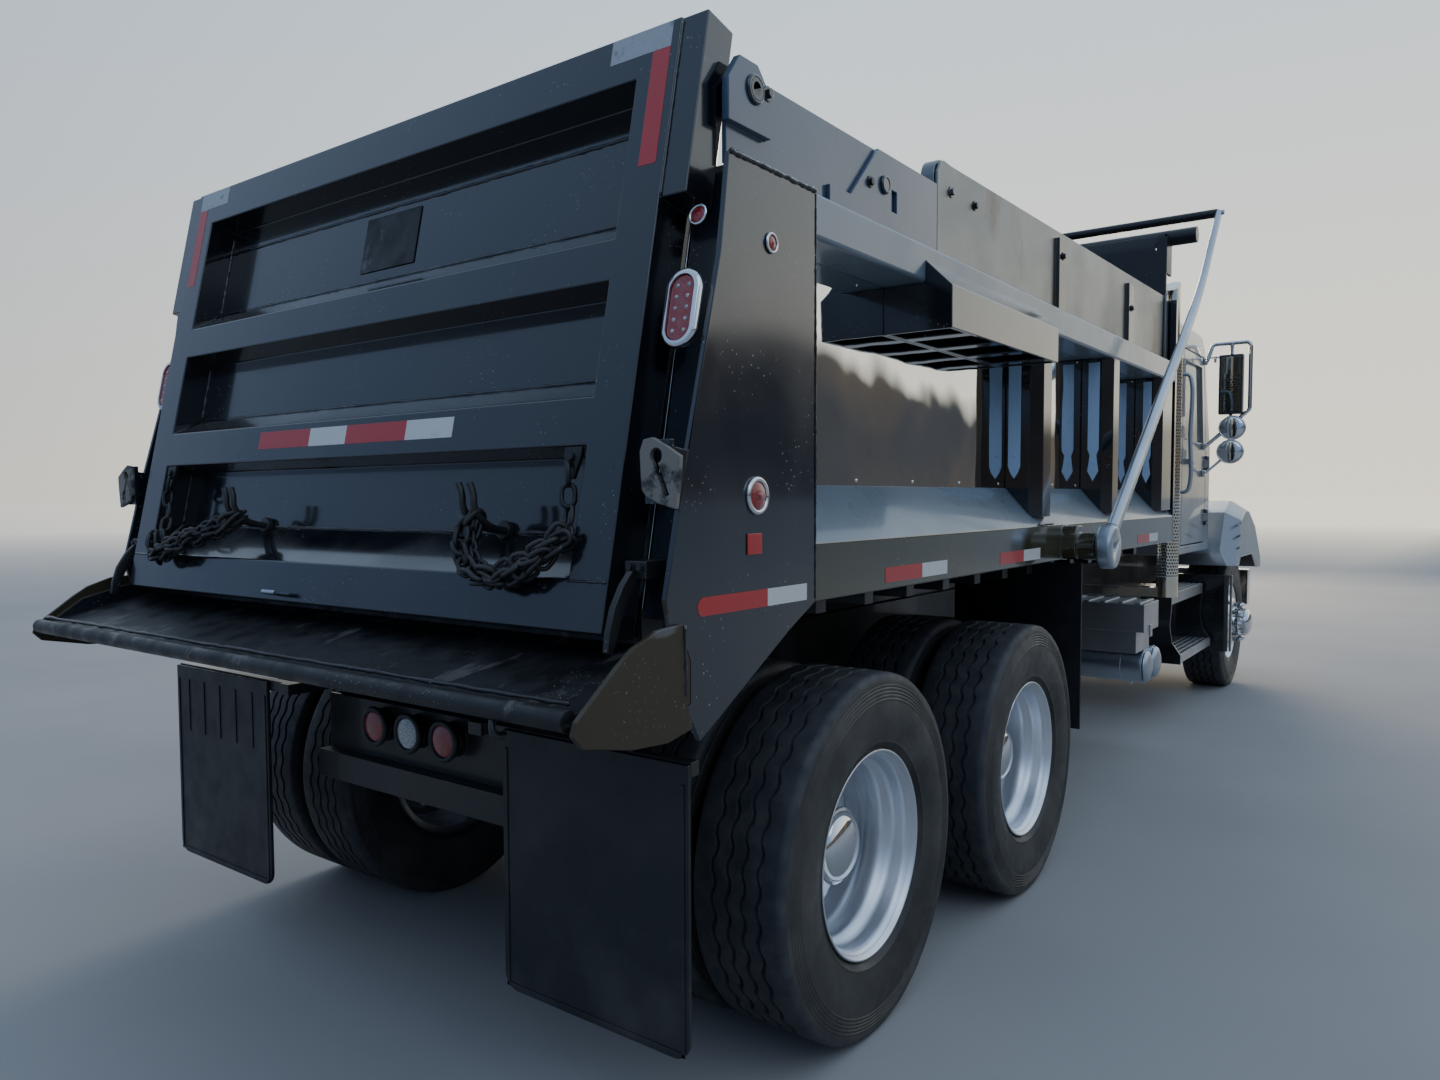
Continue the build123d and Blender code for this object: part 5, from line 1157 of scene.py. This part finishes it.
def side_tapes():
    """Red and white tape along the corner plate and the lower rail."""
    rows = ((-0.875, -0.597, -0.417), (0.02, 0.271, 0.461), (0.933, 1.18, 1.37), (2.9, 3.15, 3.34))
    for index, (start, change, end) in enumerate(rows):
        low, high = (1.3, 1.343) if index else (1.289, 1.33)
        for step, (near, far, material) in enumerate(((start, change, red_tape), (change, end, white_tape))):
            x0, x1 = (at(near, 0, 0).x, at(far, 0, 0).x)
            points = [(x1, low), (x1, high), (x0, high), (x0, low)]
            if index == step == 0:
                points[2:] = [(x0 + 0.02, high), (x0 + 0.006, high - 0.008), (x0, (low + high) / 2),
                              (x0 + 0.006, low + 0.006), (x0 + 0.014, low)]
            piece = plate(f"side_tape_right_{2 * index + step}", points, side_plane((0, side_face, 0)),
                          tape_thickness, 0.0)
            both_sides(piece, "board_metal", material)


def chain_bracket():
    """The rough plate with a keyhole for the tailgate chain, on the corner's rear edge."""
    outline = [(1.15, 1.56), (1.146, 1.64), (1.156, 1.664), (1.18, 1.668), (1.215, 1.65), (1.252, 1.628),
               (1.249, 1.585), (1.24, 1.52), (1.2, 1.53), (1.163, 1.546)]
    piece = plate("chain_bracket_right", outline, rear_plane((at(-0.962, 0, 0).x, 0, 0)), 0.012, 0.002, 2)
    cut_away(piece, bar("hole", at(-0.93, -1.19, 1.63), at(-1.0, -1.19, 1.63), 0.0165, 28))
    slit = block("slit", (-0.05, -0.0065, -0.045), (0.05, 0.0065, 0.045), 0.0)
    turn = Matrix.Rotation(math.radians(-24), 4, "X")
    cut_away(piece, settle(slit, "slit", Matrix.Translation(at(-0.955, -1.2, 1.588)) @ turn))
    even_shading(piece)
    both_sides(piece, "worn_black", scraped_steel)


def gate_latch():
    """The curved finger that holds the tailgate's foot, on its small pivot bracket."""
    curve = [(0, 0), (-0.03, -0.03), (-0.058, -0.075), (-0.074, -0.125), (-0.08, -0.165), (-0.066, -0.172),
             (-0.052, -0.15), (-0.034, -0.1), (-0.008, -0.055), (0.03, -0.028), (0.03, 0)]
    pieces = [plate("finger", curve, side_plane(at(-0.985, -1.118, 1.392)), 0.016, 0.003, 2),
              block("bracket", at(-0.972, -1.16, 1.372), at(-0.9, -1.1, 1.412), 0.004)]
    pieces += [bolt("pivot", at(-0.973, y, 1.398), backward, 0.008) for y in (-1.118, -1.146)]
    both_sides(joined("gate_latch_right", pieces), "black_paint", frame_black)


def corner_welds():
    """Beads over and down the corner plate, on its wing, and where two posts stand on the rail."""
    wing_face = -1.232
    rows = ((-0.745, 2.2975, -0.375, 2.2975, weld_face, 0.006),
            (-0.375, 2.29, -0.375, 1.29, weld_face, 0.0025),
            (-0.935, 1.28, -0.93, 1.13, wing_face, 0.004),
            (1.35, rail_high, 1.53, rail_high, weld_face, 0.004),
            (2.36, rail_high, 2.54, rail_high, weld_face, 0.004))
    beads = [weld("bead", at(x0, y, z0), at(x1, y, z1), radius) for x0, z0, x1, z1, y, radius in rows]
    both_sides(joined("corner_beads_right", beads), "black_gloss", gloss_black)


def board_fittings():
    """Hinge boss, bolts, and the straps' fastenings along the sideboards."""
    boss = [ring("boss", at(-0.6, -1.19, 2.48), outward, 0.029, 0.006),
            crosswise("sleeve", -0.6, 2.48, -1.185, -1.196, 0.026, 32, 0.002),
            bolt("second", at(-0.545, -1.188, 2.487), outward)]
    both_sides(joined("hinge_boss_right", boss), "black_gloss", side_black, body="tailgate")
    tube = [ring("tube", at(0.08, -1.186, 2.428), outward, 0.021, 0.006, 32),
            crosswise("core", 0.08, 2.428, -1.181, -1.19, 0.017, 24, 0.001)]
    both_sides(joined("board_boss_right", tube), "black_gloss", side_black)
    places = ((0.79, board_face, 2.53), (1.72, 1.187, 2.53), (2.84, 1.187, 2.48), (3.64, board_face, 2.56),
              (-0.01, 1.1825, 2.415))
    fixings = [bolt("fixing", at(x, -y, z), outward, 0.011) for x, y, z in places]
    both_sides(joined("board_bolts_right", fixings), "chain_steel", frame_black)
    outline = [(-0.025, 0), (0.035, 0), (0.045, 0.34), (0.035, 0.375), (0, 0.375), (-0.015, 0.34)]
    place = side_plane(at(3.63, -board_face, plate_top))
    both_sides(plate("board_end_bracket_right", outline, place, 0.012, 0.002, 2), "board_metal", board_steel)
    outline = [(0, 0), (0.15, 0), (0.15, 0.285), (0.135, 0.305), (0.05, 0.309), (0.02, 0.295), (0, 0.265)]
    strap = [plate("patch", outline, side_plane(at(0.455, -board_face, plate_top)), 0.01, 0.003, 2),
             bolt("stud", at(0.56, -1.181, 2.52), outward)]
    both_sides(joined("board_rear_strap_right", strap), "board_metal", board_steel)


def post_strips():
    """Bright strips with pointed feet on the rear side of each post, held by small screws."""
    plain = ((0, 1.66), (0.18, 1.635), (0.5, 1.612), (0.82, 1.635), (1, 1.66))
    waisted = ((0, 1.76), (0.2, 1.735), (0.12, 1.7), (0, 1.66), (0.5, 1.612), (1, 1.66), (0.88, 1.7),
               (0.8, 1.735), (1, 1.76))
    rear_sides = ((1.35, 1.098, 0.048, plain), (2.36, 1.118, 0.05, waisted), (3.37, 1.128, 0.042, waisted))
    for index, (x, near, width, foot) in enumerate(rear_sides):
        outline = [(near + width * share, z) for share, z in ((0, panel_high), *foot, (1, panel_high))]
        pieces = [plate("strip", outline, rear_plane((at(x, 0, 0).x, 0, 0)), 0.004, 0.0012, 2)]
        for z in (1.7, 1.9, 2.1):
            pieces.append(dome("screw", at(x - 0.004, -(near + width / 2), z), backward, 0.005, 0.003, 16))
        both_sides(joined(f"post_strip_right_{index}", pieces), "polished_steel", strip_metal)


def panel_rivets():
    """Small rivets along the edges of the polished panels between the posts."""
    rivets = []
    first = dome("rivet", at(0, -1.0853, panel_low), outward, 0.006, 0.003, 12)
    for start, end in ((-0.34, 1.33), (1.55, 2.34), (2.56, 3.35)):
        count = max(3, int((end - start) / 0.28))
        for step in range(count):
            x = start + 0.05 + (end - start - 0.1) * step / (count - 1)
            for rise in (0, panel_high - panel_low):
                rivets.append(copied(first, "rivet", Matrix.Translation((x, 0, rise))))
    bpy.data.objects.remove(first)
    both_sides(joined("panel_rivets_right", rivets), "polished_steel", mirror_steel)


def flap_borders():
    """Raised borders on the rear mud flaps, and ribs moulded in the top of the left one."""
    face = at(-0.831, 0, 0).x
    inner, outer, low, high = (0.56, 1.16, 0.27, 0.905)
    width = 0.01
    for side, sign in sides:
        spans = [(inner + width, outer - width, low + width, low + 2 * width),
                 (inner + width, inner + 2 * width, low + width, high),
                 (outer - 2 * width, outer - width, low + width, high)]
        if side == "left":
            spans += [(y, y + 0.014, 0.72, high) for y in (inner + 0.09 + step * 0.105 for step in range(5))]
        ribs = [block("rib", (face - 0.003, sign * y0, z0), (face, sign * y1, z1), 0.0012)
                for y0, y1, z0, z1 in spans]
        group(f"flap_border_{side}", ribs, "chassis", "flap_rubber", flap_rubber)


def rear_lamps():
    """Three round lamps in black grommets on the bar between the mud flaps."""
    rows = (("right", -0.165, "lamp_red", red_lens), ("middle", 0, "lamp_clear", clear_lens),
            ("left", 0.165, "lamp_red", red_lens))
    for label, y, slot, lens in rows:
        centre = at(-0.701, y, 0.835)
        grommet = ring(f"lamp_grommet_{label}", centre, backward, 0.054, 0.009, 48, 12)
        dressed(grommet, "chassis", "flap_rubber", flap_rubber)
        dressed(dome(f"rear_lamp_{label}", centre, backward, 0.049, 0.01, 36), "chassis", slot, lens)


def apron_edge():
    """The weld along the apron's pipe, and the small hook by its right end."""
    x, _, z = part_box("rear_apron")[0]
    bead = weld("bead", (x + 0.04, -1.19, z + 0.05), (x + 0.04, 1.19, z + 0.05), 0.005)
    hook = bent_rod("hook", [(x + 0.036, -1.0, z + 0.012), (x + 0.018, -1.004, z - 0.006),
                             (x + 0.018, -1.012, z - 0.028), (x + 0.038, -1.018, z - 0.032)], 0.008)
    group("apron_weld", [bead, hook], "bed", "black_paint", frame_black)


def tarp_arms():
    """The tarp's arms as round tapered bars that bend forward, with cast bosses and the bar between them."""
    pivot_x, pivot_z = (1.69, 1.337)
    pocket_x = 1.662
    top_x, top_z = (3.957, 3.16)
    body = body_of("tarp_bow")
    pieces = []
    for side in (1, -1):
        y = side * 1.38
        low, elbow, top = (at(pivot_x, y, pivot_z), at(3.44, y, 2.612), at(top_x, y, top_z))
        spots = [low.lerp(elbow, share) for share in (0.02, 0.5, 0.93)]
        spots += [elbow.lerp(top, share) for share in (0.14, 0.6, 1.0)]
        arm = bent_rod("arm", spots, 0.036, 6, (1.0, 0.92, 0.8, 0.72, 0.7, 0.68))
        collar = ring("collar", low.lerp(elbow, 0.052), elbow - low, 0.0345, 0.0045, 32, 8)
        for piece, flatness in ((arm, 0.69), (collar, 0.72)):
            for vertex in piece.data.vertices:
                vertex.co.y = y + (vertex.co.y - y) * flatness
        boss = crosswise("boss", pivot_x, pivot_z, side * 1.356, side * 1.4198, 0.089, 48, 0.014)
        cut_away(boss, crosswise("bore", pivot_x, pivot_z, side * 1.34, side * 1.395, 0.0254, 32))
        cut_away(boss, crosswise("pocket", pocket_x, pivot_z, side * 1.406, side * 1.43, 0.021, 24))
        knob = crosswise("knob", top_x, top_z, side * 1.39, side * 1.408, 0.014, 16, 0.003)
        pieces += [arm, boss, collar, knob]
    group("tarp_arms", pieces, body, slot_of["tarp_bow"], satin_aluminium, stands_for="tarp_bow")
    crossbar = crosswise("tarp_crossbar", top_x, top_z, -1.372, 1.372, 0.0248, 24, 0.002)
    dressed(crossbar, body, "black_paint", frame_black, stands_for="tarp_bow")
    pin = crosswise("arm_pin_right", pocket_x, pivot_z, -1.4, -1.412, 0.012, 20, 0.002)
    both_sides(pin, "chain_steel", chain_black, body=body)


# Front

def mirror_parts():
    """The flat glass, the two round glasses and the upper stay of each mirror set."""
    stay_x = 5.75
    for side, sign in sides:
        body = body_of(f"mirrors_{side}")
        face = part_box(f"mirrors_{side}")[0].x
        middle = sign * 1.1825
        flat = block(f"mirror_glass_{side}", (face - 0.002, middle - 0.068, 2.15),
                     (face + 0.003, middle + 0.068, 2.55), 0.004, 3)
        dressed(flat, body, "mirror_black", dim_glass)
        rounds = []
        for reach, z in round_mirrors:
            centre = Vector((face, sign * reach, z))
            rounds.append(dome("round", centre, backward, 0.08, 0.012, 40))
            rounds.append(ring("rim", centre, backward, 0.083, 0.005, 48))
        group(f"round_mirrors_{side}", rounds, body, "mirror_black", mirror_glass)
        ends = (at(stay_x, sign * 1.034, 2.556), at(stay_x, sign * 1.21, 2.552))
        stay = [bar("stay", *ends, 0.006, 12, 0.001)]
        for y in (sign * 1.075, sign * 1.15):
            stay.append(bar("clamp", at(stay_x, y, 2.518), at(stay_x, y, 2.565), 0.009, 12, 0.002))
        group(f"mirror_stay_{side}", stay, body, "mirror_black", chrome)


def grab_bars():
    """Upright bright bars at the cab's rear corners."""
    x = 4.955
    bend = ((1, 2.36), (1.05, 2.358), (1.068, 2.32), (1.068, 1.965), (1.068, 1.61), (1.05, 1.572), (1, 1.57))
    for side, sign in sides:
        pieces = [bent_rod("grip", [at(x, sign * y, z) for y, z in bend], 0.014, 10)]
        for z in (2.36, 1.57):
            pieces.append(crosswise("foot", x, z, sign * 0.999, sign * 1.008, 0.026, 24, 0.003))
        group(f"grab_bar_{side}", pieces, "chassis", "chrome", satin_aluminium)


def step_treads():
    """Raised ribs along the treads of the cab steps and the battery box's cover."""
    ribs = []
    for sign in (-1, 1):
        for level, outer in ((0.475, 1.062), (0.882, 1.002)):
            for step in range(5):
                y = sign * (outer - step * 0.038)
                low = at(4.775, y - 0.006, level - 0.001)
                ribs.append(block("rib", low, at(5.765, y + 0.006, level + 0.006)))
    for y in (-1.08, -0.985, -0.89, -0.8, -0.7, -0.61):
        ribs.append(block("rib", at(3.535, y - 0.016, 0.924), at(3.86, y + 0.016, 0.934), 0.004, 3))
    ribs.append(block("latch", at(3.64, -1.128, 0.73), at(3.69, -1.119, 0.8), 0.003))
    group("tread_ribs", ribs, "chassis", "tread_aluminium", tread_plate)


def tank_bands():
    """Domed ends and clamp bands on the crosswise air tanks."""
    pieces = []
    tank_z = 0.54
    for x in (3.75, 3.965):
        pieces.append(dome("end", at(x, -1.085, tank_z), outward, 0.093, 0.03, 40))
        for y in (-1.075, -0.96, -0.62):
            pieces.append(ring("band", at(x, y, tank_z), (0, 1, 0), 0.0955, 0.0035, 56, 8))
        pieces.append(bar("drain", at(x, -1.0, 0.446), at(x, -1.0, 0.425), 0.01, 12, 0.002))
    group("air_tank_ends", pieces, "chassis", "aluminium", satin_aluminium)


def bumper_bolts():
    bolts = [bolt("bolt", at(7.64, y, z), (1, 0, 0), 0.014) for y in (-0.43, 0.43) for z in (0.66, 0.8)]
    group("bumper_bolts", bolts, "chassis", "chrome", chrome)


def fender_louvres():
    """Short slots pressed in the fender's side behind the wheel."""
    outline = [(-0.035, -0.006), (0.03, -0.012), (0.036, 0), (0.03, 0.009), (-0.035, 0.005)]
    slots = [plate("slot", outline, side_plane(at(x, -1.1895, z)), 0.003, 0.001)
             for x, z in ((6.23, 1.33), (6.215, 1.235), (6.205, 1.14))]
    both_sides(joined("fender_slots_right", slots), "black_paint", frame_black, body="hood")


# Stage

def camera():
    """The photograph's own view: a wide lens low behind the right rear corner."""
    yaw, pitch, roll = (math.radians(angle) for angle in (37.8, -2.92, -0.31))
    forward = Vector((math.cos(yaw) * math.cos(pitch), math.sin(yaw) * math.cos(pitch), math.sin(pitch)))
    right = Vector((math.sin(yaw), -math.cos(yaw), 0))
    up = right.cross(forward)
    right, up = (right * math.cos(roll) + up * math.sin(roll), up * math.cos(roll) - right * math.sin(roll))
    photo_width, photo_height = (1440, 1080)
    focal_pixels = 1003.5
    centre_x, centre_y = (673.6, 549.6)
    data = bpy.data.cameras.new("camera")
    data.sensor_width = 36.0
    data.lens = data.sensor_width * focal_pixels / photo_width
    data.shift_x = (photo_width / 2 - centre_x) / photo_width
    data.shift_y = (centre_y - photo_height / 2) / photo_width
    data.clip_end = 1500.0
    view = bpy.data.objects.new("camera", data)
    bpy.context.collection.objects.link(view)
    turn = Matrix((right, up, -forward)).transposed().to_4x4()
    view.matrix_world = Matrix.Translation(at(-2.582, -2.482, 1.542)) @ turn
    bpy.context.scene.camera = view


def floor():
    clear()
    bpy.ops.mesh.primitive_grid_add(x_subdivisions=8, y_subdivisions=8, size=1600, location=(0, 0, 0))
    ground = bpy.context.object
    ground.name = "floor"
    coated(ground, floor_finish())


def sky():
    """A pale sky: cream low ahead of the truck, blue behind it, with a dark low band on its right."""
    world = bpy.data.worlds.new("sky")
    world.use_nodes = True
    tree = world.node_tree
    way = node(tree, "ShaderNodeTexCoord").outputs["Generated"]
    east, north, up = split(way)
    ahead = ramp(east, -0.45, 0.8)
    horizon = blend(ahead, behind_horizon, ahead_horizon)
    zenith = blend(ahead, (0.26, 0.37, 0.56), (0.6, 0.76, 0.94))
    colour = blend(ramp(up, 0.02, 0.55), horizon, zenith)
    patchy = node(tree, "ShaderNodeTexNoise", {"Vector": way, "Scale": 5.0, "Detail": 1.0}).outputs["Fac"]
    dark = blend(ramp(patchy, 0.35, 0.7), (0.058, 0.062, 0.07), (0.15, 0.122, 0.092))
    over = sum_up("SUBTRACT", up, ramp(north, -0.34, -0.52, 0.07, 0.165))
    low_band = times(ramp(over, 0.008, -0.014), ramp(north, -0.04, -0.3))
    feed(tree.nodes["Background"].inputs["Color"], blend(low_band, colour, dark))
    feed(tree.nodes["Background"].inputs["Strength"], sky_strength)
    bpy.context.scene.world = world


def lights():
    """A broad cool panel over the rear, and a strong warm one far ahead."""
    rows = (("sky_panel", (-7, -5, 7.5), (-2, 0, 1.2), (7, 5), 90, (0.74, 0.86, 1)),
            ("front_panel", (15, 4.5, 6.5), (0, -0.5, 1), (6, 4.5), 1500, (1, 0.84, 0.62)))
    for name, place, aim, size, power, colour in rows:
        data = bpy.data.lights.new(name, "AREA")
        data.shape = "RECTANGLE"
        data.size, data.size_y = size
        data.energy = power
        data.color = colour
        lamp = bpy.data.objects.new(name, data)
        bpy.context.collection.objects.link(lamp)
        lamp.location = place
        lamp.rotation_euler = (Vector(aim) - Vector(place)).to_track_quat("-Z", "Y").to_euler()


camera()
floor()
sky()
lights()
finish_nodes()
place_tyres()
place_rims()
tailgate_tapes()
tailgate_welds()
blank_plate()
tailgate_chains()
corner_lamps()
side_tapes()
chain_bracket()
gate_latch()
corner_welds()
board_fittings()
post_strips()
panel_rivets()
flap_borders()
rear_lamps()
apron_edge()
tarp_arms()
mirror_parts()
grab_bars()
step_treads()
tank_bands()
bumper_bolts()
fender_louvres()
